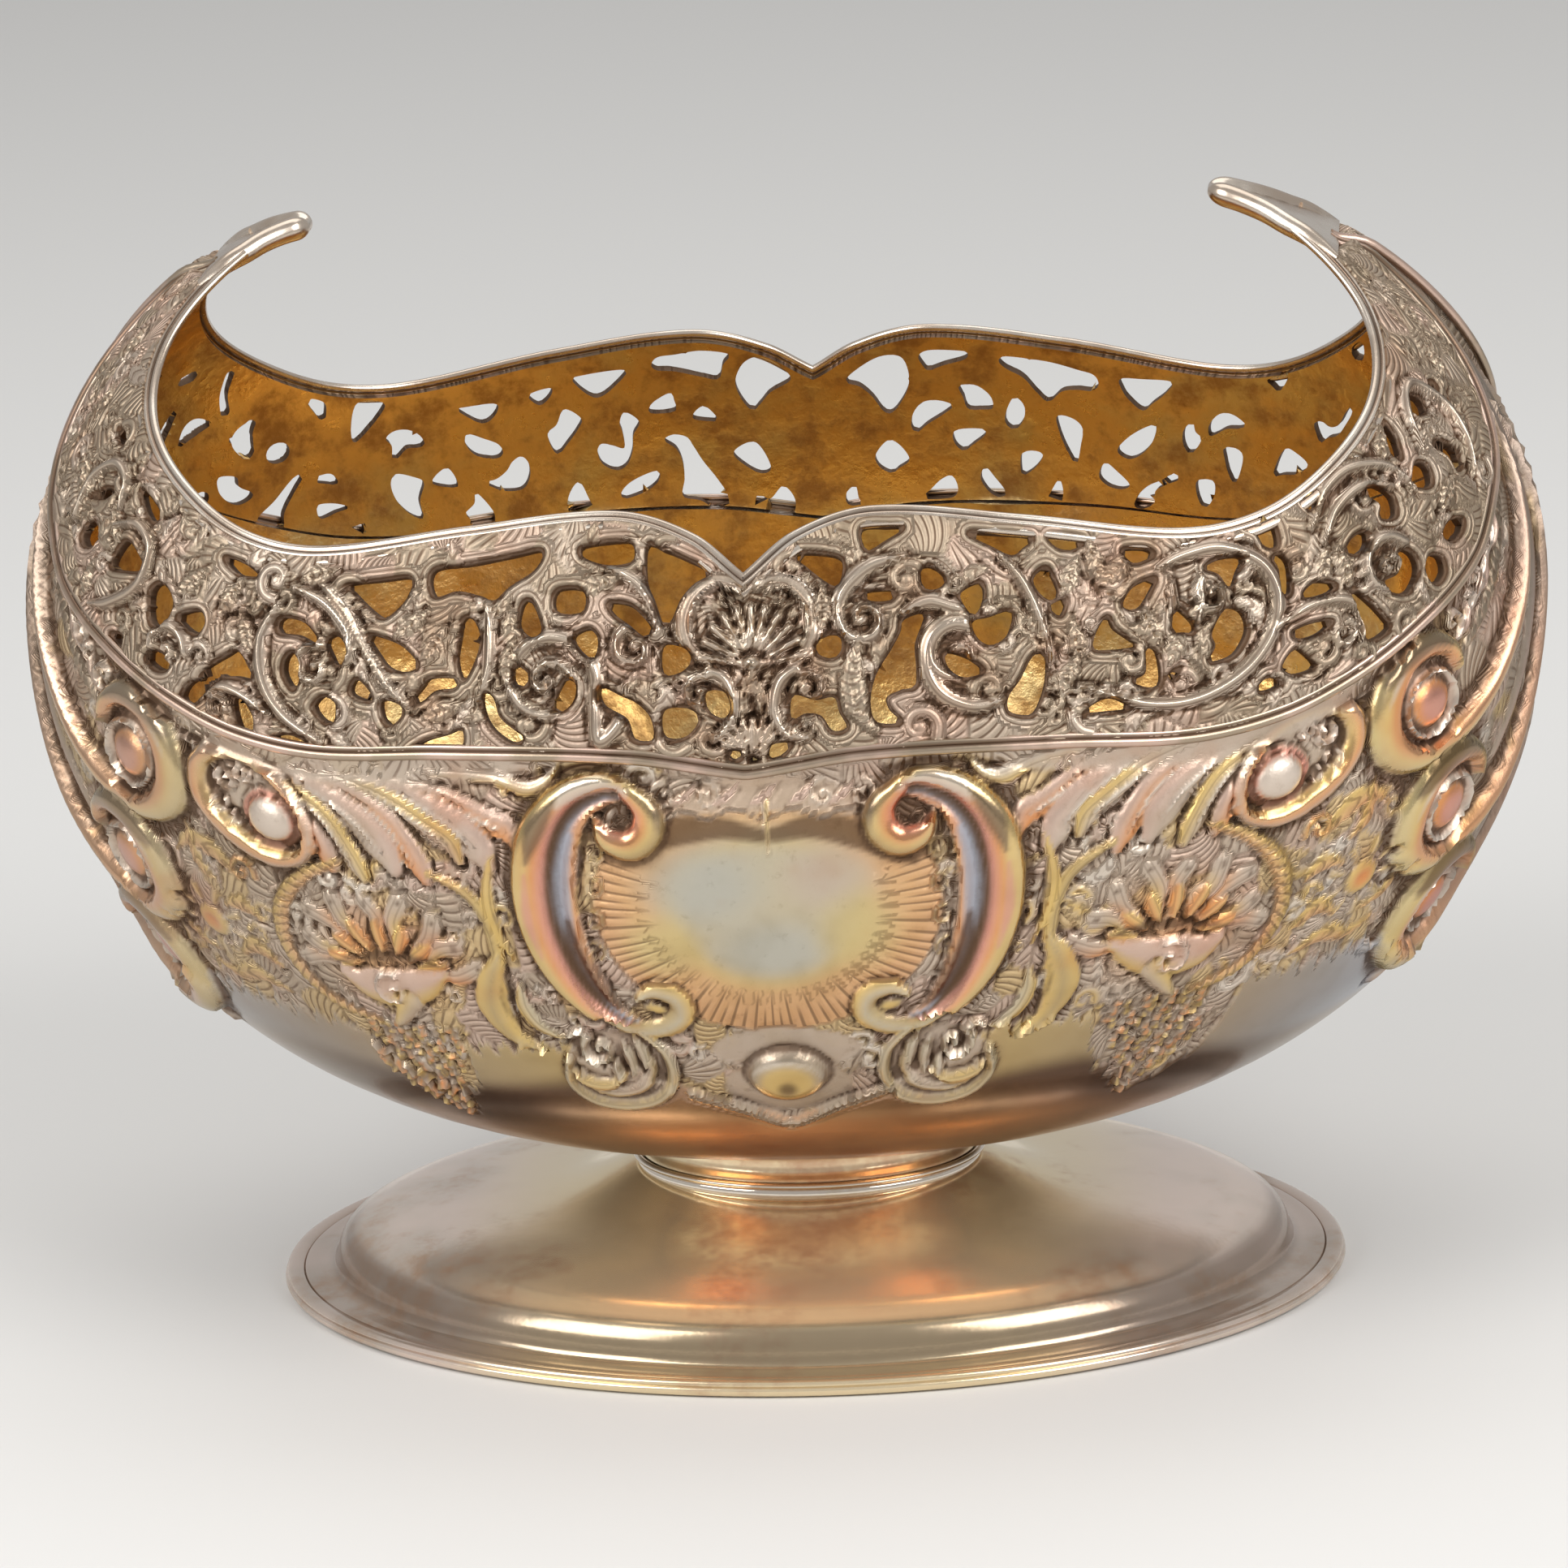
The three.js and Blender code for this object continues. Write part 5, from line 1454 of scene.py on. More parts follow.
BACK_HOLES: Sequence[Points] = (
    (-52.4, 88.3, -48.9, 87.6, -52.3, 83.1),
    (-48.6, 83.1, -47.7, 84, -46.1, 84, -44.7, 83.1, -44.1, 81.9, -44.7, 81.5, -46.1, 81.5, -47.2, 80.4, -47.8, 80.4,
     -47.9, 82.1),
    (-47.5, 78.4, -45.5, 77.8, -44.3, 76.9, -44.9, 74.7, -44.7, 72.6, -46.1, 73.2, -47.5, 75, -48.1, 77.1),
    (-41.6, 78.5, -40.5, 76, -43.4, 76.8),
    (-68.9, 81.4, -66.6, 81, -66.2, 79.7, -64.6, 78.7, -64.9, 77.9, -66.4, 77.5, -67.8, 78.2, -68.9, 79.7),
    (-58.3, 79.8, -59.5, 79.7, -61.9, 77.2, -64.1, 75.4, -63.6, 74.2, -61.2, 73.6, -60.8, 75.5, -59.6, 77.6),
    (-56.9, 75.4, -56.4, 75.9, -54.6, 75.7, -53.1, 75, -54.6, 74.6, -56.5, 74.1),
    (-51.2, 72.8, -54.6, 72.2, -56.1, 71.4, -52.8, 70.3, -49, 69.3, -48.1, 69.7, -50.5, 70.6, -51.8, 71.6),
    (-40.4, 86, -39.2, 86.3, -36.1, 86.4, -35.8, 85.3, -36.7, 84.1, -37.6, 83.9, -38.8, 84.6),
    (-32.3, 87.2, -29.8, 88, -29.8, 86.8, -31, 85.7),
    (-27.3, 88.8, -26, 89.5, -21.4, 89.9, -22, 88.2, -24.6, 86.2),
    (-18.3, 90.4, -17.6, 91.5, -15.5, 91.8, -12.6, 92.2, -9.4, 91.5, -10.1, 90, -10.7, 88, -12.6, 88.4, -15.5, 89.3,
     -17.6, 89.6),
    (-6.3, 91, -7.9, 90, -8.8, 87.6, -8.3, 85.3, -7.1, 83.5, -6.1, 84.4, -4.9, 85.9, -2.6, 87.5, -3.2, 89.1, -4.6,
     90.4),
    (-16.3, 86.3, -15.8, 85.3, -15.8, 83.8, -18.5, 83.7, -18.3, 85),
    (-12.4, 84.3, -11, 82.6, -11.3, 82.2, -13.6, 82.6, -13.6, 83.5),
    (-39.2, 82.6, -39.4, 81.3, -38.2, 79.7, -36.1, 79.1, -35.2, 79.7, -35.7, 80.9, -37.3, 81.8),
    (-33.2, 79.1, -32.4, 78.2, -32.3, 76.5, -33.2, 75, -35.2, 74.9, -36.7, 75.6, -37.4, 76.2, -36.1, 76.5, -34.9,
     77.4, -34.2, 78.5),
    (-28.2, 84.9, -26.3, 83.5, -26.7, 82.1, -27.9, 80.3, -28.9, 79.1, -29.6, 79.7, -30.1, 81.8, -29.1, 82.9),
    (-21.4, 84, -19.8, 82.6, -20.5, 80.9, -20.7, 78.8, -21.4, 77.1, -22.6, 76.5, -24.1, 77.4, -24.6, 79.1, -24.1, 80,
     -22.9, 79.7, -21.6, 79.3, -21.7, 81.2, -22, 82.6),
    (-18, 76.1, -18, 74.9, -19.4, 73.7, -21.7, 72.9, -22.3, 73.5, -21.4, 74.7, -19.6, 75.7),
    (-17.1, 80, -16.1, 80.7, -14.6, 80.3, -13.9, 79.1, -12.9, 77.1, -11.4, 74.7, -10.4, 72.6, -10.5, 70.3, -11.7,
     68.6, -13.5, 68.5, -14.1, 69.1, -12.6, 70, -12.4, 71.2, -13.5, 72.2, -15.4, 72.8, -15.1, 75, -15.2, 77.1, -15.8,
     78.8),
    (-27.3, 75.1, -26.6, 75, -25.7, 72.6, -24.4, 70.2, -27.6, 70.1, -28.3, 71.8, -28.2, 73.5),
    (-7, 79.3, -5.4, 76, -6.9, 75.4, -9.5, 77.9),
    (-7.1, 72.6, -5.7, 72.1, -4.2, 73.6, -3, 72.1, -3.2, 70.3, -5.2, 70.3, -6.3, 69.1, -6.9, 67.9, -8.6, 68.3, -7.7,
     70.3),
    (-38.5, 75, -37.1, 73.2, -36.6, 71.8, -37.3, 70.5, -39.5, 70.6, -39.4, 71.8, -39.9, 72.6, -38.8, 73.7),
    (-32, 71.9, -31.6, 71.6, -31.1, 69.7, -36, 69, -34.1, 70.3),
    (3.6, 87.2, 5.5, 89.2, 8, 90.7, 10.2, 90.6, 10.9, 88.5, 10.6, 86, 9.3, 83.6, 8.3, 82.7, 7.5, 83.2, 6.5, 85, 5.2,
     86.4),
    (12.3, 90.6, 13.5, 91.5, 16.5, 91.5, 18, 91.2, 17.6, 90.2, 15, 89.3, 13.3, 88.6, 12.7, 89.2),
    (21.5, 89.8, 22, 90.6, 24, 90.5, 27.5, 89.9, 30.5, 88.9, 32.3, 88.2, 32.6, 86.8, 31.6, 86, 30, 86.1, 28.2, 85.8,
     26.5, 84.4, 25.3, 85.6, 24, 87.6, 22.3, 88.8),
    (35.3, 87.8, 38, 87.9, 41.4, 87.7, 40.3, 86, 38.6, 84.6, 37.3, 83.6, 36, 84.8, 35.3, 86.2),
    (16.4, 86.3, 17.3, 86.6, 18.6, 86.4, 19.9, 85, 20, 83.4, 18.8, 83.2, 17.2, 83.3, 16.8, 84.8),
    (22.6, 84.9, 23.6, 83.8, 23.4, 82, 22.3, 80.6, 21.3, 81.4, 21.5, 83),
    (12.2, 84.2, 14, 84.4, 15.5, 83.7, 14.4, 82.6, 12.4, 81.2, 11.2, 80.2, 10.6, 81, 11, 82.8),
    (15.2, 80, 16.2, 80.6, 18.6, 80.6, 18.8, 79.8, 17.4, 78.6, 16.3, 77.8, 15.4, 78.6),
    (7.2, 78.6, 8.2, 79.2, 9.4, 78.2, 10.1, 76.6, 8.9, 75.6, 8, 75, 6.7, 75.8, 6.3, 77.1),
    (27.2, 82.4, 28.8, 82.3, 30, 81, 29.6, 78.6, 29, 76.4, 28.2, 77.6, 27.4, 80),
    (37, 81.2, 38.6, 81.7, 38, 79.6, 36.6, 77.9, 35, 77.2, 33.8, 78.2, 35, 79.8),
    (22.8, 77.4, 24, 77.9, 25.2, 77.4, 24.3, 75.8, 22.9, 74.8, 22.6, 75.6),
    (32.3, 76.6, 33.6, 75.6, 35, 74, 34, 73.4, 32.4, 73.8, 31.5, 75),
    (40.2, 75.7, 40.8, 75, 39.2, 74.2, 38, 73.4, 37.8, 71.9, 36.4, 71.1, 35.5, 71.5, 36, 72.8, 37.2, 74, 38.8, 74.8),
    (18.6, 75.7, 19.6, 74.5, 20.8, 72.6, 20, 72, 18.8, 72.8, 18, 74.4),
    (14.8, 74.6, 15.4, 73, 14.6, 71.9, 11.4, 71.8, 12.4, 73, 13.6, 74.2),
    (26.9, 74.3, 27.3, 72.4, 26.4, 70.3, 24.6, 70.3, 25.6, 72.2),
    (3.9, 73.4, 4.2, 71.9, 4.7, 71.3, 3.6, 71, 2.8, 71.4, 2.9, 72.7),
    (30.2, 70.5, 33, 69.9, 30, 69.9),
    (43, 82.4, 43.2, 81.2, 43.8, 80.2, 42.4, 78.3, 41.6, 79.4, 41.8, 81.2),
    (44.8, 80.8, 45, 82.2, 46.4, 83.7, 48, 83.8, 49.4, 82.6, 48.6, 82, 47, 81.8, 45.6, 81),
    (46.4, 79.3, 47.8, 79.4, 48.6, 78.6, 48.2, 76.6, 47.4, 75, 46.7, 76.2, 46.4, 77.8),
    (43, 75, 44.8, 75.1, 45, 73.6, 44.2, 72, 43.4, 72, 42.8, 73.6),
    (53.4, 88.9, 55.2, 89.8, 56.4, 90, 55.6, 88.6, 54.5, 87.5, 53.8, 88.2),
    (58.2, 83.6, 59.2, 84, 60.2, 83.4, 61.4, 83.8, 62.6, 85.4, 63.9, 86.7, 63.6, 85.6, 62.4, 84, 61, 82.4, 59.6, 81.9,
     58.6, 81.2, 58.2, 82.4),
    (52.2, 76.4, 53, 78.6, 54, 79.9, 55, 79.7, 56.6, 78.2, 55.2, 76.9, 53.4, 76.6),
    (66.6, 93.7, 67.2, 95.2, 69.2, 96.4, 68.8, 94.8, 67.8, 93.4, 67, 93.4),
    (48, 69.6, 50.6, 70.7, 50.4, 70),
)

BACK_SLOTS: Sequence[Points] = (
    (-82, 97.7, .5, -81.8, 97.7, .5),
    (-77, 95.9, .7, -75.8, 96.3, .8),
    (-69.9, 95.4, .6, -69.9, 92.5, .55, -69.1, 90, .6),
    (-76.7, 91.4, .45, -77.4, 89.3, .7, -77.8, 87.2, .4),
    (-74.6, 87, .5, -73.3, 88.6, 1.3, -71.3, 88.8, .5),
    (-65.4, 87.6, .7, -66.2, 86, 1.4, -65.4, 84, .9),
    (-61.6, 83.2, 1.35, -61.4, 83.2, 1.35),
    (-57.9, 89.4, .5, -56.9, 88.5, .8, -56.4, 87.3, .5),
    (-71.2, 79.2, .85, -71, 79.2, .85),
    (-74.8, 82.4, .8, -74.6, 82.4, .8),
    (-56.3, 79, .5, -55.3, 78.9, .65, -54.6, 78.4, .4),
)


def draw_gallery_ground(relief: Relief, edge: Array) -> None:
    """Chases every bar of a gallery: leaf veins, rounded edges and a line beside each opening.

    Args:
        relief: The relief to draw on.
        edge: How far each point is from an opening.
    """
    low = relief.t[0] + 1.2
    high = np.maximum(relief.t[-1] - 1.6, low + 0.1)
    relief.leafage(size=3.9, pitch=relief.reed_pitch, height=0.3, seed=47, tints=(BEIGE, GREY, GREY, ROSE))
    beside = edge < 1.3
    relief.line = np.where(beside, edge / 0.6 + 0.5, relief.line)
    relief.lined = np.where(beside, 0.9, relief.lined)
    relief.scatter(260, 23, (2.4, 5.6), height=0.35, lowest=low, highest=high, tints=((BEIGE,), (GREY,), None))
    relief.height += 0.4 * np.sqrt(np.clip(1 - (1 - np.clip(edge / 0.8, 0, 1)) ** 2, 0, 1))


def draw_gallery_front(relief: Relief) -> None:
    """Draws the scrolls, coils and leaves of the front gallery."""
    pale, grey = (BEIGE, GREY), (GREY, GREY)
    for points in (
        (-.2, 88.2, .7, -2.6, 88.9, .9, -5, 87.4, 1.1, -6, 84.8, 1.2, -5.4, 82.4, 1, -3.6, 80.8, .6),
        (1.6, 88.2, .7, 4.2, 88.7, .9, 6.4, 87, 1.1, 7.2, 84.6, 1.2, 6.5, 82, 1, 4.8, 80.6, .6),
    ):
        relief.stroke(points, 1.3, pale, Profile.BAND)
    relief.fan((.8, 80.4), (1, 1.2), (5, 5.6), angles=(8, 172), count=11, half_width=0.62, height=1.1, tint=pale)
    relief.coil((-1.4, 86.9), 1.1, 20, 420, 0.4, 1.3, pale)
    relief.coil((3.4, 87), 1.1, 160, -420, 0.4, 1.3, pale)
    relief.boss((.8, 80.6), (1.2, 1), 1.5, tint=pale)
    for lean in (-1, 1):
        relief.stroke((.8, 79.6, .5, .8 + lean * 1.1, 76.6, .9, .8 + lean * 1.7, 73.4, .8, .8 + lean * 2.4, 70.8, .3),
            1.0, grey, Profile.LEAF, 6)
        relief.fan((.8, 71), (.4, .4), (3.4, 4), angles=(90 - 60 * lean, 90), count=5, half_width=0.5, height=0.9,
            tint=pale)
    relief.coil((-4.4, 77.8), 1.7, 60, 420, 0.55, 1.2, pale, (-3, 73.2, .5, -1.9, 74.2, .7, -1, 76.4, .8, -1.8, 79,
        .8, -3.4, 79.8, .7))
    relief.coil((6.4, 78), 1.7, 120, -420, 0.55, 1.2, pale, (6.2, 73.2, .6, 4.2, 73.6, .7, 3, 75.8, .8, 3.5, 78.6, .8,
        5.2, 80, .7))
    relief.coil((6, 74.2), 1.0, 180, 400, 0.4, 1.1, pale)
    relief.coil((-10.8, 82.2), 2.3, 80, 430, 0.8, 1.3, pale, (-13.6, 90, .5, -10.6, 88.6, .9, -8.4, 85.6, 1, -8.6,
        83.6, .9))
    relief.coil((-19.5, 78.8), 5.2, -20, 640, 0.95, 1.3, pale, (-11.6, 78.6, .4, -12.2, 75.2, .9, -14.4, 73.2, 1))
    relief.coil((12, 84.6), 2.3, 200, 430, 0.8, 1.3, pale, (16.4, 90.6, .5, 13, 89.8, .9, 10.4, 87.8, 1, 9.4, 85.6,
        .9))
    relief.stroke((11.4, 82, .6, 10.7, 79, 1.3, 11.2, 76, 1.4, 12.8, 73.8, .6), 1.0, grey, Profile.LEAF, 9)
    relief.coil((20.9, 80.6), 3.3, 60, 430, 1.0, 1.3, pale, (25.4, 76, .5, 22.4, 75.6, .9, 19.4, 77, 1.1, 18, 79.8,
        1.1, 18.6, 82.6, 1.1, 21, 84.2, 1))
    relief.stroke((15.8, 85, .5, 18.6, 86, .9, 21.6, 85.2, .8, 24.4, 85.6, .5), 1.1, pale)
    relief.coil((-44.3, 79.2), 2.6, 30, 430, 0.75, 1.3, pale, (-47.4, 87, .5, -43.4, 85.6, .9, -40.6, 82.8, 1, -40.6,
        80.4, .9))
    relief.stroke((-48.8, 85.2, .5, -50.6, 81.4, .9, -50, 77.2, 1, -47.6, 74, .9, -43.6, 71.8, .5), 1.2, pale)
    relief.stroke((-45, 88, .5, -41.2, 85.2, .7, -38.8, 81.6, .7, -36.4, 78.2, .6, -34, 75.8, .4), 1.2, pale,
        Profile.BAND)
    for s, t, turn in ((-34, 84, 40), (-31.4, 82, 60), (-35.2, 86.6, 20), (-23.4, 84, 100), (-23.6, 80.8, 80),
                       (-30.4, 75.6, 20), (-52.6, 82, 110), (-54.8, 85.4, 60), (33, 87.6, 60), (35.8, 88.8, 100),
                       (38, 88, 40), (43, 80, 70), (40.6, 82, 110), (33, 81.4, 100), (32, 78, 60), (60.4, 86, 60),
                       (62.2, 85.4, 100), (71.6, 96.6, 60), (-73, 91, 120), (-67, 90, 60), (-60, 86.4, 40),
                       (-75.6, 84.6, 70), (-82, 95, 100), (85.4, 97, 70), (88, 104, 80), (-86, 103, 100), (91, 110, 80),
                       (-90, 110, 100), (78, 90, 40), (-44.6, 88.4, 20), (8, 86, 90), (-14.8, 88.4, 20), (29, 84, 100)):
        way = math.radians(turn)
        x, y = 2.2 * math.cos(way), 2.2 * math.sin(way)
        relief.stroke((s - x, t - y, .3, s - x * .2, t - y * .2, 1.2, s + x, t + y, .3), 1.0, grey, Profile.LEAF, 5)
    relief.stroke((-26.2, 87, .4, -25.6, 84, .7, -25.6, 80, .7, -26.6, 76.8, .4), 1.1, pale)
    relief.coil((-62.7, 79.2), 2.9, 0, 430, 0.8, 1.2, pale)
    relief.stroke((-58.4, 74.6, .4, -55.4, 76.2, .7, -52.4, 75.6, .7, -49.6, 74, .4), 1.1, pale)
    relief.coil((-56, 74), 1.4, 0, 400, 0.5, 1.1, pale)
    relief.stroke((42, 87.6, .5, 45, 88.6, .8, 49, 88.9, .9, 52.8, 87, 1, 54.2, 84, 1, 53.6, 80.8, 1, 51, 77.4, .9,
        47.4, 75.2, .9, 43.4, 74.2, .8, 39, 74.6, .7, 33, 76.8, .4), 1.2, pale)
    relief.coil((47.3, 84.4), 1.9, 120, 420, 0.6, 1.3, pale, (43.3, 86, .4, 43.4, 83, .7, 45.2, 81.8, .7))
    relief.stroke((26, 90.4, .4, 28, 87.6, .7, 29.4, 84, .7, 30.4, 79.6, .4), 1.1, pale)
    relief.coil((67.4, 84.2), 3.4, 40, 500, 0.85, 1.3, pale)
    for height, points in (
        (1.1, (60.6, 88, .4, 62.8, 91, .7, 66.8, 92.9, .8, 70.8, 92.2, .4)),
        (1.1, (59.6, 89.6, .4, 61.8, 92.8, .7, 66, 94.9, .8, 71, 94.4, .7, 73.6, 91.4, .4)),
        (1.1, (53.8, 80.4, .4, 57.8, 82, .7, 61.8, 81.9, .8, 63.4, 80, .7, 63, 77.4, .4)),
    ):
        relief.stroke(points, height, pale)
    relief.coil((61, 78.6), 1.5, 60, -400, 0.5, 1.2, pale)
    for height, points in (
        (1.2, (76.8, 95, .4, 77.4, 99.6, .8, 80.4, 102.2, .9, 83.8, 99, .9, 84.4, 95, .8, 83, 91, .4)),
        (1.1, (-74.6, 82, .4, -71.4, 82.6, .8, -67.4, 85, .8, -66.6, 89, .8, -69.4, 91.2, .7, -72.8, 90.6, .4)),
        (1.1, (-80.4, 90, .4, -79.8, 94.6, .8, -76.6, 96.8, .8, -73.6, 95.4, .7, -73, 92.4, .4)),
    ):
        relief.stroke(points, height, pale)


@dataclass
class RimWires:
    """The reeded rim in its four lengths, mitred at the notch in the middle of each long side."""

    form: BowlForm
    depth: float = 0.1
    strands: Sequence[Points] = ((0.1, -0.66, 0.52), (0.16, 0.06, 0.44), (-0.02, 0.72, 0.44))
    sides: int = 44
    stations: int = 190
    first_angle: float = 12.8

    def build(self, finish: bpy.types.Material) -> None:
        """Makes the four wires."""
        outline = reeded_outline(self.strands, self.sides)
        share = np.linspace(0, 1, self.stations) ** 0.9
        reach = self.form.s_at(self.first_angle) * (1 - share)
        for side in Side:
            for hand in (-1, 1):
                s = reach * hand
                t = self.form.rim(s, side)
                out = self.form.normal(s, t, side)
                centre = self.form.place(s, t, side) - out * self.depth
                ahead, up = along_wire(centre, out)
                out = np.cross(up, ahead)
                out *= np.sign(np.sum(out * centre * (1, 1, 0), axis=1, keepdims=True))
                right = hand * -side.value > 0
                name = f"rim_wire_{side.name.lower()}_{'right' if right else 'left'}"
                piece = tube(f"reeded_{name}", centre, out, up, outline, ahead[-1])
                dress(piece, (name,), (finish,), WIRE_CREASE)


@dataclass
class ShoulderWires:
    """The thin double wires that cover the seam between the bowl and the galleries."""

    form: BowlForm
    proud: float = 0.45
    strands: Sequence[Points] = ((0.05, -0.16, 0.52), (-0.05, 0.58, 0.34))
    sides: int = 28
    stations: int = 360
    end_angle: float = 1.6
    end_dive: float = 1.2
    dive_start: float = 2.8
    dive_reach: float = 2.4

    def build(self, finish: bpy.types.Material) -> None:
        """Makes the two wires."""
        outline = reeded_outline(self.strands, self.sides)
        end = self.form.s_at(self.end_angle)
        s = np.linspace(-end, end, self.stations)
        for side in Side:
            t = self.form.shoulder(s)
            out = self.form.normal(s, t, side)
            lift = self.proud - self.end_dive * smooth((np.abs(s) - end + self.dive_start) / self.dive_reach)
            centre = self.form.place(s, t, side) + out * lift[:, None]
            name = f"shoulder_wire_{side.name.lower()}"
            piece = tube(f"double_{name}", centre, out, along_wire(centre, out)[1], outline)
            dress(piece, (name,), (finish,), WIRE_CREASE)


@dataclass
class Horns:
    """The horned tips in which the front and back rims run together over each end."""

    path: Points = (58.4, 110.6, 57, 111.5, 55.4, 112.5, 53.7, 113.3, 51.9, 114.2, 50, 114.9, 48.2, 115.4, 46.5, 115.7)
    half_widths: Points = (8.3, 7.5, 6.75, 5.8, 4.6, 3.6, 2.9, 2.5)
    strand_radii: Points = (.45, .8, 1, 1.1, 1.15, 1.2, 1.25, 1.3)
    skew: float = 1.2
    left_drop: float = 0.7
    web: float = 0.5
    stations: int = 60
    sides: int = 56
    round_end: float = 0.14

    def build(self, finish: bpy.types.Material) -> None:
        """Makes both tips."""
        for hand, name in ((1, "horn_tip_right"), (-1, "horn_tip_left")):
            piece = self._horn(f"rounded_{name}", hand)
            dress(piece, (name,), (finish,), WIRE_CREASE)

    def _horn(self, name: str, hand: int) -> bpy.types.Object:
        """Makes one tip; hand is the sign of its X."""
        knots = np.hstack([np.reshape(self.path, (-1, 2)), np.array([self.half_widths, self.strand_radii]).T])
        line = curve_through(knots, 0.05)
        run = np.concatenate([[0], np.cumsum(np.hypot(*np.diff(line[:, :2], axis=0).T))])
        share = 1 - (1 - np.linspace(0, 1, self.stations)) ** 1.6
        picked = np.stack([np.interp(share * run[-1], run, line[:, k]) for k in range(4)], axis=1)
        ahead = np.gradient(picked[:, :2], axis=0)
        ahead /= np.linalg.norm(ahead, axis=1, keepdims=True)
        taper = np.sqrt(np.clip(1 - ((share - 1 + self.round_end) / self.round_end).clip(0, 1) ** 2, 0, 1))
        width, radius = picked[:, 2] * (0.35 + 0.65 * taper) * np.where(taper > 0, 1, 0), picked[:, 3] * taper
        angle = np.linspace(0, 2 * math.pi, self.sides, endpoint=False)
        across = np.sign(np.cos(angle)) * np.abs(np.cos(angle)) ** 0.8
        y = width[:, None] * across
        past = (np.abs(y) - (width - radius)[:, None]) / np.maximum(radius, 1e-6)[:, None]
        lobe = np.sqrt(np.clip(1 - past**2, 0, 1))
        inner = np.abs(y) < (width - radius)[:, None]
        merge = smooth((radius * 2.6 - width) / (radius + 1e-6))[:, None]
        web = np.maximum(self.web / np.maximum(radius, 0.3)[:, None], merge)
        thick = radius[:, None] * np.where(inner, np.maximum(lobe, np.minimum(web, 1)), lobe)
        z = thick * np.sign(np.sin(angle)) * (np.abs(np.sin(angle)) > 1e-9)
        up = np.stack([-ahead[:, 1], ahead[:, 0]], axis=1)
        up *= np.sign(up[:, 1:])
        x = picked[:, :1] + up[:, :1] * z
        bent = share[:, None] ** 1.5 * hand
        height = picked[:, 1:2] + up[:, 1:] * z + self.left_drop * bent
        points = np.stack([(x - self.skew * bent) * hand, y, height], axis=-1)
        points = np.concatenate([points, points[:, :1]], axis=1)
        piece = flat_grid(name, points.shape[0], points.shape[1])
        set_points(piece, points)
        close_and_turn_out(piece, 1e-6)
        return piece


@dataclass
class TurnedPiece:
    """A piece of the foot or the neck: one outline carried round an oval."""

    name: str
    node: str
    outline: Points
    oval: float = 0.72
    sides: int = 256
    step: float = 0.35
    flare: float = 0.0
    # Pairs of reach and strength for painted shade, a darker band stored in the groove attribute.
    shade: Points = (0, 0)
    flare_reach: float = 19.0
    flare_spread: float = 5.5

    def build(self, finish: bpy.types.Material) -> None:
        """Carries the outline round the oval ring by ring and closes it."""
        rings = curve_through(np.reshape(self.outline, (-1, 2)).astype(float), self.step, True)
        clear_selection()
        reach, level = rings[0]
        bpy.ops.mesh.primitive_circle_add(vertices=self.sides, radius=reach * MM, location=(0, 0, level * MM))
        piece = bpy.context.object
        piece.name = piece.data.name = self.name
        bpy.ops.object.transform_apply(location=True, rotation=True, scale=True)
        bpy.ops.object.mode_set(mode="EDIT")
        bpy.ops.mesh.select_mode(type="VERT")
        bpy.ops.mesh.select_all(action="SELECT")
        for (r0, z0), (r1, z1) in zip(rings, np.roll(rings, -1, axis=0)):
            bpy.ops.mesh.extrude_region_move(TRANSFORM_OT_translate={"value": (0, 0, (z1 - z0) * MM)})
            bpy.ops.transform.resize(value=(r1 / r0, r1 / r0, 1), center_override=(0, 0, 0))
        bpy.ops.mesh.select_all(action="SELECT")
        bpy.ops.transform.resize(value=(1, self.oval, 1), center_override=(0, 0, 0))
        bpy.ops.object.mode_set(mode="OBJECT")
        points = get_points(piece)
        reach = np.hypot(points[:, 0], points[:, 1] / self.oval)
        if self.flare:
            end = (points[:, 0] / reach) ** 2
            points[:, 2] += self.flare * np.exp(-(((reach - self.flare_reach) / self.flare_spread) ** 2)) * end
            set_points(piece, points)
        # Painted shade: the shade pairs darken bands by reach, kept in the groove attribute that the finish darkens.
        set_attribute(piece, "groove", np.interp(reach, self.shade[::2], self.shade[1::2]))
        close_and_turn_out(piece, 4e-6)
        dress(piece, (self.node,), (finish,), 40)


class Sock:
    """A number socket of a material that adds Math nodes when it is reckoned with."""

    def __init__(self, tree: Tree, socket: bpy.types.NodeSocket) -> None:
        """Keeps the socket and the tree that it belongs to."""
        self.tree, self.socket = tree, socket

    def _math(self, operation: str, first: Value, second: Value = 0.0) -> Sock:
        """Adds one Math node."""
        return self.tree.node("ShaderNodeMath", {"operation": operation}, {0: first, 1: second})[0]

    def __add__(self, other: Value) -> Sock:
        """The sum."""
        return self._math("ADD", self, other)

    __radd__ = __add__

    def __sub__(self, other: Value) -> Sock:
        """The difference."""
        return self._math("SUBTRACT", self, other)

    def __rsub__(self, other: Value) -> Sock:
        """The difference the other way round."""
        return self._math("SUBTRACT", other, self)

    def __mul__(self, other: Value) -> Sock:
        """The product."""
        return self._math("MULTIPLY", self, other)

    __rmul__ = __mul__

    def eased(self, low: float, high: float) -> Sock:
        """A soft step from 0 at low to 1 at high."""
        return self.tree.node("ShaderNodeMapRange", {"interpolation_type": "SMOOTHSTEP"},
                              {"Value": self, "From Min": low, "From Max": high})["Result"]

    def wave(self) -> Sock:
        """1 at each whole number and -1 half-way between."""
        turn = self * (2 * math.pi)
        return turn._math("COSINE", turn)

    def clamped(self) -> Sock:
        """The value kept between 0 and 1."""
        return self.tree.node("ShaderNodeClamp", {}, {"Value": self})[0]


Value = float | Sock
Link = float | Sequence[float] | Sock | bpy.types.NodeSocket


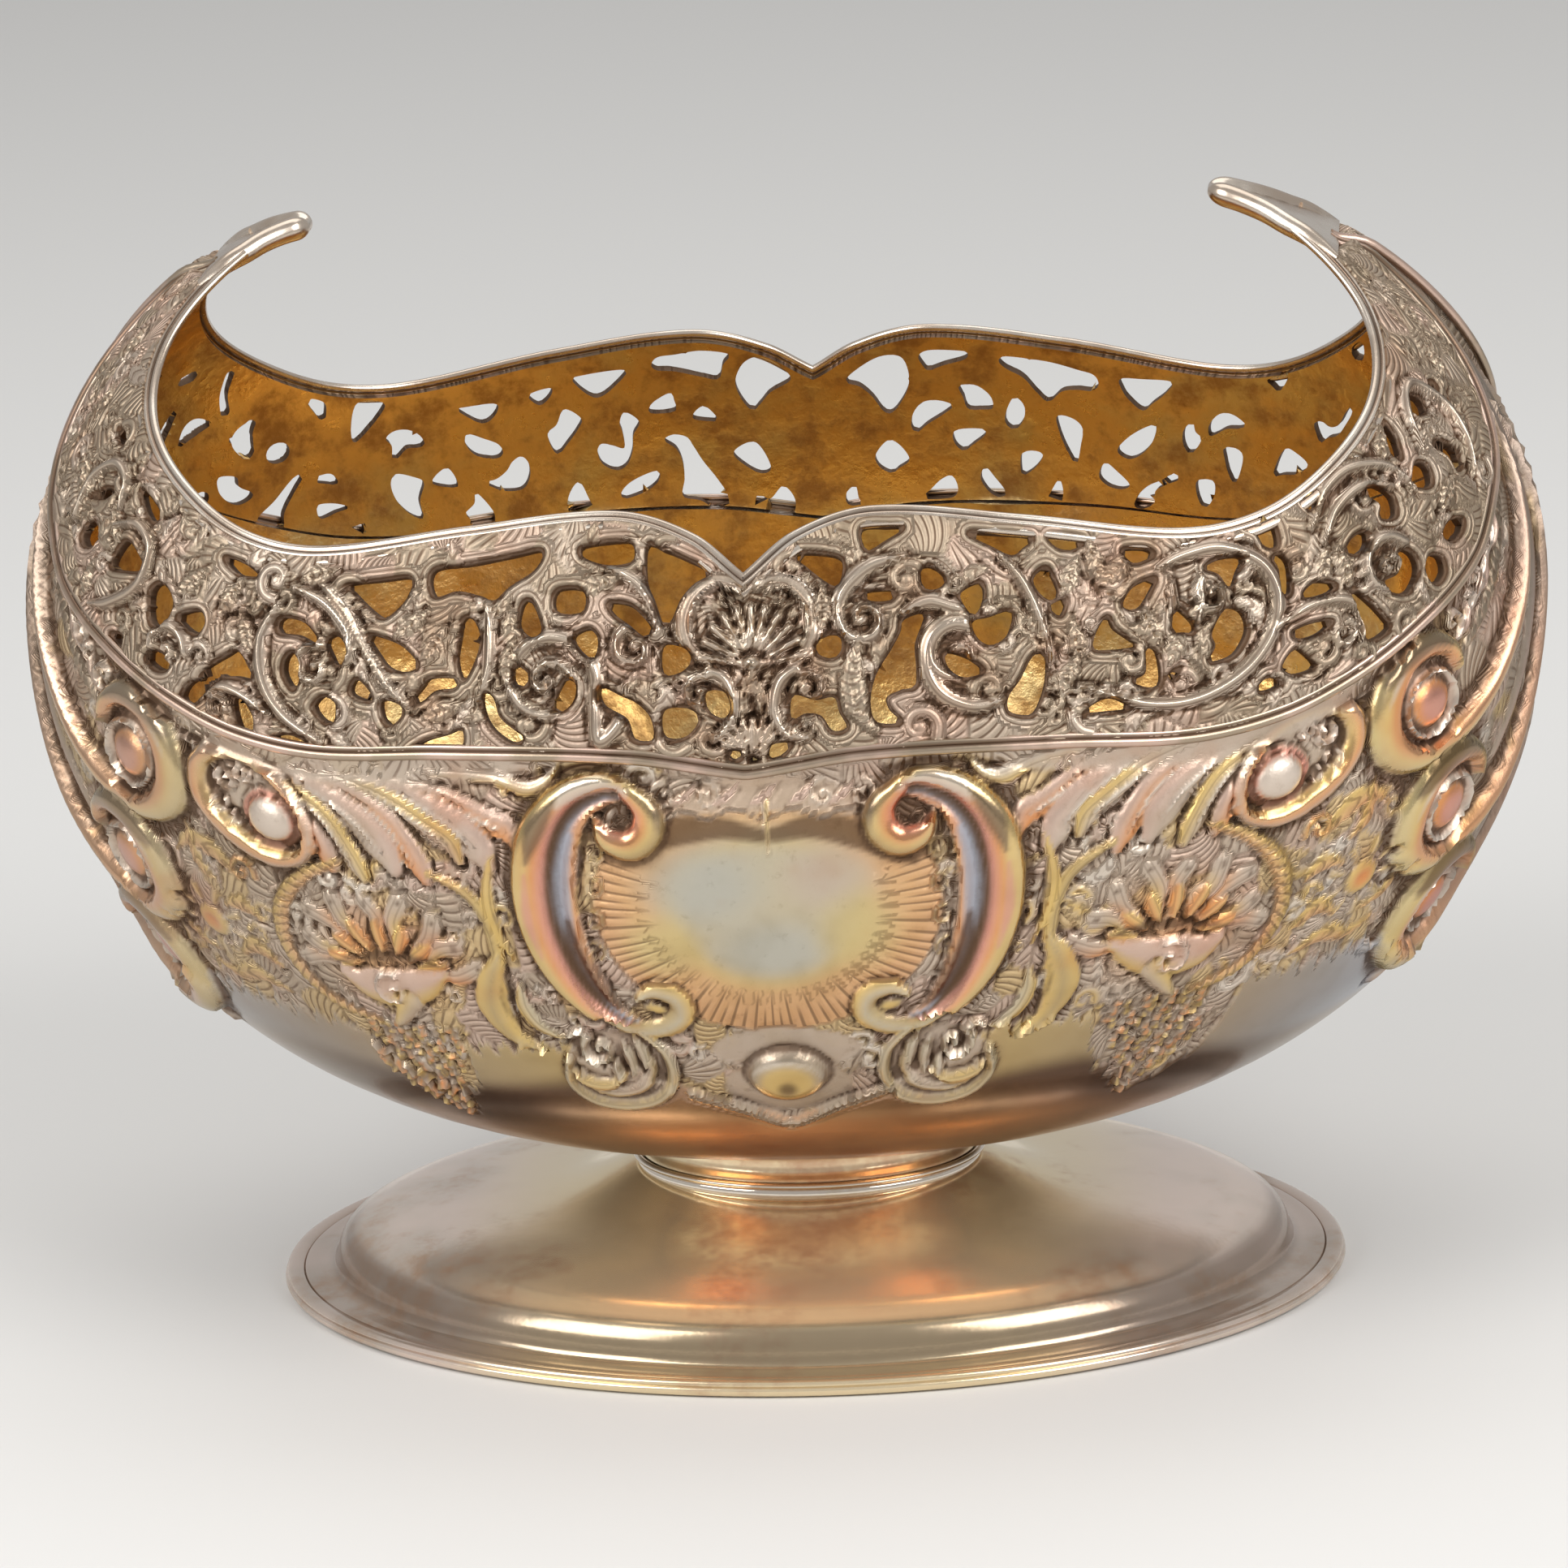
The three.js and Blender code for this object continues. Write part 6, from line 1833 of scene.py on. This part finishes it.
class Outputs:
    """The outputs of a node, by name or number."""

    def __init__(self, tree: Tree, node: bpy.types.Node) -> None:
        """Keeps the node."""
        self.tree, self.node = tree, node

    def __getitem__(self, key: int | str) -> Sock:
        """One output."""
        return Sock(self.tree, self.node.outputs[key])


class Tree:
    """The node tree of one material."""

    def __init__(self, name: str) -> None:
        """Starts a material that holds only its output."""
        self.material = bpy.data.materials.new(name)
        self.material.use_nodes = True
        self.material.node_tree.nodes.clear()
        self.place = self.node("ShaderNodeTexCoord")["Object"]

    def node(
        self, kind: str, settings: dict[str, object] | None = None, sockets: dict[int | str, Link] | None = None
    ) -> Outputs:
        """Adds a node.

        Args:
            kind: The node's type.
            settings: Its settings.
            sockets: The values or links of its sockets, by name or number.

        Returns:
            Its outputs.
        """
        node = self.material.node_tree.nodes.new(kind)
        for name, value in (settings or {}).items():
            setattr(node, name, value)
        for key, value in (sockets or {}).items():
            if isinstance(value, Sock):
                self.material.node_tree.links.new(value.socket, node.inputs[key])
            else:
                node.inputs[key].default_value = value
        return Outputs(self, node)

    def attribute(self, name: str, output: str = "Fac") -> Sock:
        """Reads what is stored on the vertices."""
        return self.node("ShaderNodeAttribute", {"attribute_name": name})[output]

    def noise(self, size: float, detail: float = 3.0, rough: float = 0.55, seed: float = 0.0) -> Sock:
        """A cloudy pattern from 0 to 1; size is in millimetres."""
        return self.node("ShaderNodeTexNoise", {"noise_dimensions": "4D"},
                         {"Vector": self.place, "W": seed, "Scale": 1 / (size * MM), "Detail": detail,
                          "Roughness": rough})[0]

    def mix(self, share: Value, first: Link, second: Link, blend: str = "MIX") -> Sock:
        """Mixes two colours."""
        return self.node("ShaderNodeMix", {"data_type": "RGBA", "blend_type": blend},
                         {0: share, 6: first, 7: second})[2]

    def bump(self, height: Value, depth: float) -> Sock:
        """A bump; depth is in millimetres."""
        return self.node("ShaderNodeBump", {}, {"Height": height, "Distance": depth * MM, "Strength": 1.0})[0]

    def finish(self, sockets: dict[int | str, Link]) -> bpy.types.Material:
        """Ends the material with a Principled shader."""
        shader = self.node("ShaderNodeBsdfPrincipled", {}, sockets)[0]
        self.node("ShaderNodeOutputMaterial", {}, {"Surface": shader})
        return self.material


def rgba(tint: Tint) -> tuple[float, float, float, float]:
    """A tint as a socket's colour."""
    red, green, blue = tint.linear()
    return float(red), float(green), float(blue), 1.0


@dataclass(frozen=True)
class ChasedSilver:
    """Embossed or chased silver: dark in the recesses, paler on the ridges, partly rubbed wear and partly a painted
    highlight, with a warm tarnish.
    """

    name: str
    recess: Tint = UMBER
    recess_start: float = 0.05
    recess_full: float = 0.42
    recess_share: float = 0.8
    wear_and_highlight: float = 0.15
    polished: float = 0.2
    matted: float = 0.58
    grain_size: float = 0.35
    grain_depth: float = 0.05
    line_share: float = 0.6
    line_depth: float = 1.0

    def build(self) -> bpy.types.Material:
        """Makes the material."""
        tree = Tree(self.name)
        hollow = tree.attribute("hollow")
        matte = tree.attribute("matte")
        tint = tree.attribute("tint", "Color")
        patch = tree.noise(11, 3, 0.6)
        speck = tree.noise(1.1, 4, 0.65, 3.0)
        tint = tree.mix(patch.eased(0.52, 0.7) * 0.3, tint, rgba(ORANGE), "MULTIPLY")
        tint = tree.mix(patch.eased(0.5, 0.3) * 0.3, tint, rgba(CREAM), "MULTIPLY")
        tint = tree.mix(speck.eased(0.56, 0.75) * matte * 0.35, tint, rgba(GREY), "MULTIPLY")
        recess = (hollow + (speck - 0.5) * 0.16).eased(self.recess_start, self.recess_full)
        recess = (recess * self.recess_share).clamped()
        # Paler ridges: partly rubbed wear, partly a painted highlight.
        ridge = (hollow * -1).eased(0.05, 0.6) * self.wear_and_highlight
        groove, lined = tree.attribute("line").wave(), tree.attribute("lined")
        recess = (recess + groove.eased(0.3, 1.0) * lined * self.line_share).clamped()
        colour = tree.mix(recess, tint, rgba(self.recess))
        colour = tree.mix(ridge, colour, rgba(PALE))
        grain = tree.noise(self.grain_size, 2, 0.5, 7.0)
        return tree.finish({
            "Base Color": colour,
            "Metallic": 1.0,
            "Roughness": matte * (self.matted - self.polished) + recess * 0.15 + speck * 0.1 + (self.polished - 0.05),
            "Normal": tree.bump(grain * (matte * 0.8 + 0.1) - groove * lined * self.line_depth, self.grain_depth),
        })


@dataclass(frozen=True)
class PlainSilver:
    """Plain polished silver with a light, cloudy tarnish and fine scratches, darker in reeded grooves and in painted
    shade bands; a colour laid across the middle is partly tarnish and partly a painted reflection.
    """

    name: str
    tint: Tint
    stain: Tint
    glow: Tint
    roughness: float = 0.12
    cloud_size: float = 26.0
    middle: Tint | None = None
    middle_reach: float = 34.0
    metallic: float = 1.0
    stained: float = 0.5
    stain_start: float = 0.86

    def build(self) -> bpy.types.Material:
        """Makes the material."""
        tree = Tree(self.name)
        cloud = tree.noise(self.cloud_size, 3, 0.55)
        speck = tree.noise(2.4, 5, 0.7, 2.0)
        scratch = tree.noise(0.5, 2, 0.5, 5.0)
        colour = tree.mix(cloud.eased(0.42, 0.62), rgba(self.tint), rgba(self.glow))
        # On the foot, the middle colour is partly tarnish and partly a painted reflection.
        if self.middle is not None:
            across = tree.node("ShaderNodeSeparateXYZ", {}, {"Vector": tree.place})[0]
            reach = (self.middle_reach * MM) ** 2
            share = (across * across + cloud * 0.0006 - 0.0003).eased(reach * 1.3, reach * 0.35)
            colour = tree.mix(share, colour, rgba(self.middle))
        stain = (cloud + speck * 0.5).eased(self.stain_start, self.stain_start + 0.24) * self.stained
        colour = tree.mix(stain, colour, rgba(self.stain))
        # Darker where the groove attribute is set: the grooves between reeded strands, and the painted shade bands of
        # the foot.
        colour = tree.mix(tree.attribute("groove") * 0.85, colour, rgba(UMBER))
        return tree.finish({
            "Base Color": colour,
            "Metallic": self.metallic,
            "Roughness": speck.eased(0.4, 0.75) * 0.07 + cloud * 0.08 + (self.roughness - 0.04),
            "Normal": tree.bump(scratch + speck * 0.5, 0.007),
        })


@dataclass(frozen=True)
class GiltLining:
    """The gilt inner face: deep orange gold with brown blotches."""

    name: str
    tint: Tint = GILT
    roughness: float = 0.24

    def build(self) -> bpy.types.Material:
        """Makes the material."""
        tree = Tree(self.name)
        cloud = tree.noise(16, 4, 0.6)
        blotch = tree.noise(6, 5, 0.65, 6.0)
        speck = tree.noise(1.6, 5, 0.7, 4.0)
        colour = tree.mix(cloud.eased(0.45, 0.65), rgba(self.tint), rgba(STRAW))
        colour = tree.mix((blotch + speck * 0.3).eased(0.6, 0.82) * 0.8, colour, rgba(BRONZE))
        return tree.finish({
            "Base Color": colour,
            "Metallic": 1.0,
            "Roughness": blotch.eased(0.3, 0.7) * 0.22 + speck * 0.1 + (self.roughness - 0.05),
            "Normal": tree.bump(speck * 0.2 + blotch + cloud * 2, 0.3),
        })


@dataclass
class Studio:
    """The pale floor, the soft lamps and the camera."""

    floor_radius: float = 3.0
    floor_colour: tuple[float, float, float, float] = (0.76, 0.75, 0.73, 1)
    world_colour: tuple[float, float, float, float] = (0.36, 0.36, 0.36, 1)
    seen_colour: tuple[float, float, float, float] = (0.52, 0.52, 0.52, 1)
    aim: Points = (-1, 0, 53.5)
    azimuth: float = 5.2
    elevation: float = 16.3
    roll: float = 2.5
    distance: float = 800.0
    lens: float = 174.07

    def build(self) -> None:
        """Makes the floor, the lamps, the world and the camera."""
        self._floor()
        self._world()
        self._lamp("left_softbox", (-620, -620, 620), (520, 620), 6.4)
        self._lamp("right_softbox", (620, -560, 620), (520, 620), 6.4)
        self._lamp("top_softbox", (0, 250, 900), (800, 600), 2.2)
        self._camera()

    def _floor(self) -> None:
        """Makes the floor."""
        clear_selection()
        bpy.ops.mesh.primitive_circle_add(vertices=96, radius=self.floor_radius, fill_type="NGON",
                                          location=(0, 0, -0.0001))
        floor = bpy.context.object
        floor.name = "studio_floor"
        tree = Tree("pale_floor")
        shade = tree.mix(tree.noise(400, 2) * 0.04, self.floor_colour, (0.6, 0.6, 0.6, 1))
        floor.data.materials.append(tree.finish({"Base Color": shade, "Roughness": 0.85}))

    def _world(self) -> None:
        """Lights the scene evenly from all round."""
        world = bpy.data.worlds.new("studio")
        bpy.context.scene.world = world
        world.use_nodes = True
        nodes, links = world.node_tree.nodes, world.node_tree.links
        path, shade = nodes.new("ShaderNodeLightPath"), nodes.new("ShaderNodeMix")
        shade.data_type = "RGBA"
        seen = path.outputs["Is Camera Ray"]
        for ray in ("Is Glossy Ray", "Is Transmission Ray"):
            either = nodes.new("ShaderNodeMath")
            either.operation = "MAXIMUM"
            links.new(seen, either.inputs[0])
            links.new(path.outputs[ray], either.inputs[1])
            seen = either.outputs[0]
        links.new(seen, shade.inputs["Factor"])
        shade.inputs[6].default_value, shade.inputs[7].default_value = self.world_colour, self.seen_colour
        links.new(shade.outputs[2], nodes["Background"].inputs["Color"])

    def _lamp(self, name: str, place: Points, size: Points, power: float) -> None:
        """Hangs one rectangular softbox that faces the dish.

        Args:
            name: Its name.
            place: Its place, in millimetres.
            size: Its width and height, in millimetres.
            power: Its power, in watts.
        """
        clear_selection()
        bpy.ops.object.light_add(type="AREA", location=[value * MM for value in place])
        lamp = bpy.context.object
        lamp.name = name
        lamp.data.shape = "RECTANGLE"
        lamp.data.size, lamp.data.size_y = size[0] * MM, size[1] * MM
        lamp.data.energy = power
        back = np.array(place, dtype=float) - (0, 0, 60)
        back /= np.linalg.norm(back)
        right = np.cross((0, 0, 1), back)
        right /= np.linalg.norm(right)
        self._aim(lamp, right, np.cross(back, right), back, place)

    def _camera(self) -> None:
        """Places the camera where the photograph was taken."""
        azimuth, elevation, roll = (math.radians(value) for value in (self.azimuth, self.elevation, self.roll))
        back = np.array([math.sin(azimuth) * math.cos(elevation), -math.cos(azimuth) * math.cos(elevation),
                         math.sin(elevation)])
        right = np.array([math.cos(azimuth), math.sin(azimuth), 0])
        up = np.cross(back, right)
        clear_selection()
        bpy.ops.object.camera_add()
        camera = bpy.context.object
        camera.name = "photo_camera"
        camera.data.lens, camera.data.sensor_width = self.lens, 36
        camera.data.clip_start, camera.data.clip_end = 0.01, 20
        self._aim(camera, right * math.cos(roll) - up * math.sin(roll), up * math.cos(roll) + right * math.sin(roll),
                  back, np.array(self.aim) + back * self.distance)
        bpy.context.scene.camera = camera

    @staticmethod
    def _aim(thing: bpy.types.Object, right: Array, up: Array, back: Array, place: Points) -> None:
        """Turns a lamp or a camera to the given axes at a place in millimetres."""
        matrix = Matrix.Identity(4)
        for column, axis in enumerate((right, up, back, np.array(place) * MM)):
            for row in range(3):
                matrix[row][column] = float(axis[row])
        thing.matrix_world = matrix


# Outlines of the foot and the neck: the reach along the dish and the height of each point. Shade pairs of reach and
# strength paint darker bands: painted shade under the foot's roll and along its edge.
TURNED: Sequence[TurnedPiece] = (
    TurnedPiece("foot_edge", "foot_edge_wire", (
        55, .05, 56, 0, 56.7, .2, 57, .6, 56.9, .95, 56.62, 1.08, 56.78, 1.28, 56.6, 1.62, 55.9, 1.78, 55, 1.6,
        54.9, .8,
    ), step=.2, shade=(54, .45, 56.4, .35, 57, .25)),
    TurnedPiece("foot_sheet", "foot_dome", (
        54.8, 1.62, 53.2, 1.78, 52, 1.95, 51.5, 2.3, 51.2, 3, 51, 3.8, 50.5, 4.8, 49.5, 5.75, 47.6, 6.65, 45, 7.4,
        38.7, 8.31, 31.1, 9.01, 26.5, 9.5, 23.5, 9.95, 21, 10.45, 19, 11, 17.2, 11.3, 16.9, 10.6, 19, 10.1,
        23.5, 9.05, 31.1, 8.1, 38.7, 7.4, 45, 6.5, 48.6, 5.1, 50.1, 3.6, 50.6, 2.2, 51.4, 1.3, 53.2, .95, 54.7, .9,
    ), step=.8, flare=1.3, shade=(46, 0, 48.6, .15, 49.8, .8, 51.4, .85, 52.2, .45, 55, .5)),
    TurnedPiece("neck_polished_ring", "neck_ring", (
        15.9, 11.2, 17.4, 11.15, 18.15, 11.35, 18.5, 11.85, 18.5, 12.35, 18.2, 12.85, 17.4, 13.05, 15.9, 13,
    ), step=.25),
    TurnedPiece("neck_bead_wire", "neck_bead", (
        18.2, 12.85, 18.6, 12.8, 18.92, 13.15, 18.6, 13.5, 18.2, 13.45, 17.9, 13.15,
    ), step=.15),
    TurnedPiece("neck_band", "neck_collar", (
        16.9, 13.3, 17.9, 13.35, 17.85, 13.7, 17.35, 14.1, 17.05, 14.6, 16.9, 15.4, 17, 16.3, 17.35, 17, 17.3, 17.25,
        16.4, 17.1, 15.95, 15.4, 16.2, 14.2,
    ), step=.25),
)


def main() -> None:
    """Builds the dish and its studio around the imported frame."""
    logging.basicConfig(level=logging.INFO, format="%(message)s", stream=sys.stdout)
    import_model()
    form = BowlForm()
    bpy.context.scene.view_settings.view_transform = "Standard"
    embossed = ChasedSilver("embossed_silver_finish").build()
    pierced = ChasedSilver("pierced_silver_finish", recess_start=0.02, recess_full=0.3, recess_share=0.9,
                           line_share=0.8).build()
    gilt = GiltLining("gilt_lining").build()
    polished = PlainSilver("polished_silver_finish", CHROME, OLIVE, PALE, roughness=0.08).build()
    satin = PlainSilver("foot_silver_finish", FOOT_SIDE, COPPER, PALE, roughness=0.17, middle=FOOT_MIDDLE,
                        metallic=0.75, stained=0.85, stain_start=0.74).build()
    rim = PlainSilver("rim_silver_finish", BEIGE, GREY, PALE, roughness=0.24, cloud_size=9.0).build()
    seam = PlainSilver("seam_silver_finish", GREY, OLIVE, ROSE, roughness=0.32, cloud_size=9.0).build()
    Bowl(form, BodyOrnament()).build(embossed, gilt)
    Gallery(form, Side.FRONT, FRONT_HOLES, FRONT_SLOTS).build(pierced, gilt)
    Gallery(form, Side.BACK, [np.multiply(hole, [-1, 1] * (len(hole) // 2)) for hole in BACK_HOLES],
            [np.multiply(slot, [-1, 1, 1] * (len(slot) // 3)) for slot in BACK_SLOTS]).build(pierced, gilt)
    ShoulderWires(form).build(seam)
    RimWires(form).build(rim)
    Horns().build(rim)
    for turned in TURNED:
        turned.build(satin if "foot" in turned.node or "collar" in turned.node else polished)
    Studio().build()


if __name__ == "__main__":
    main()
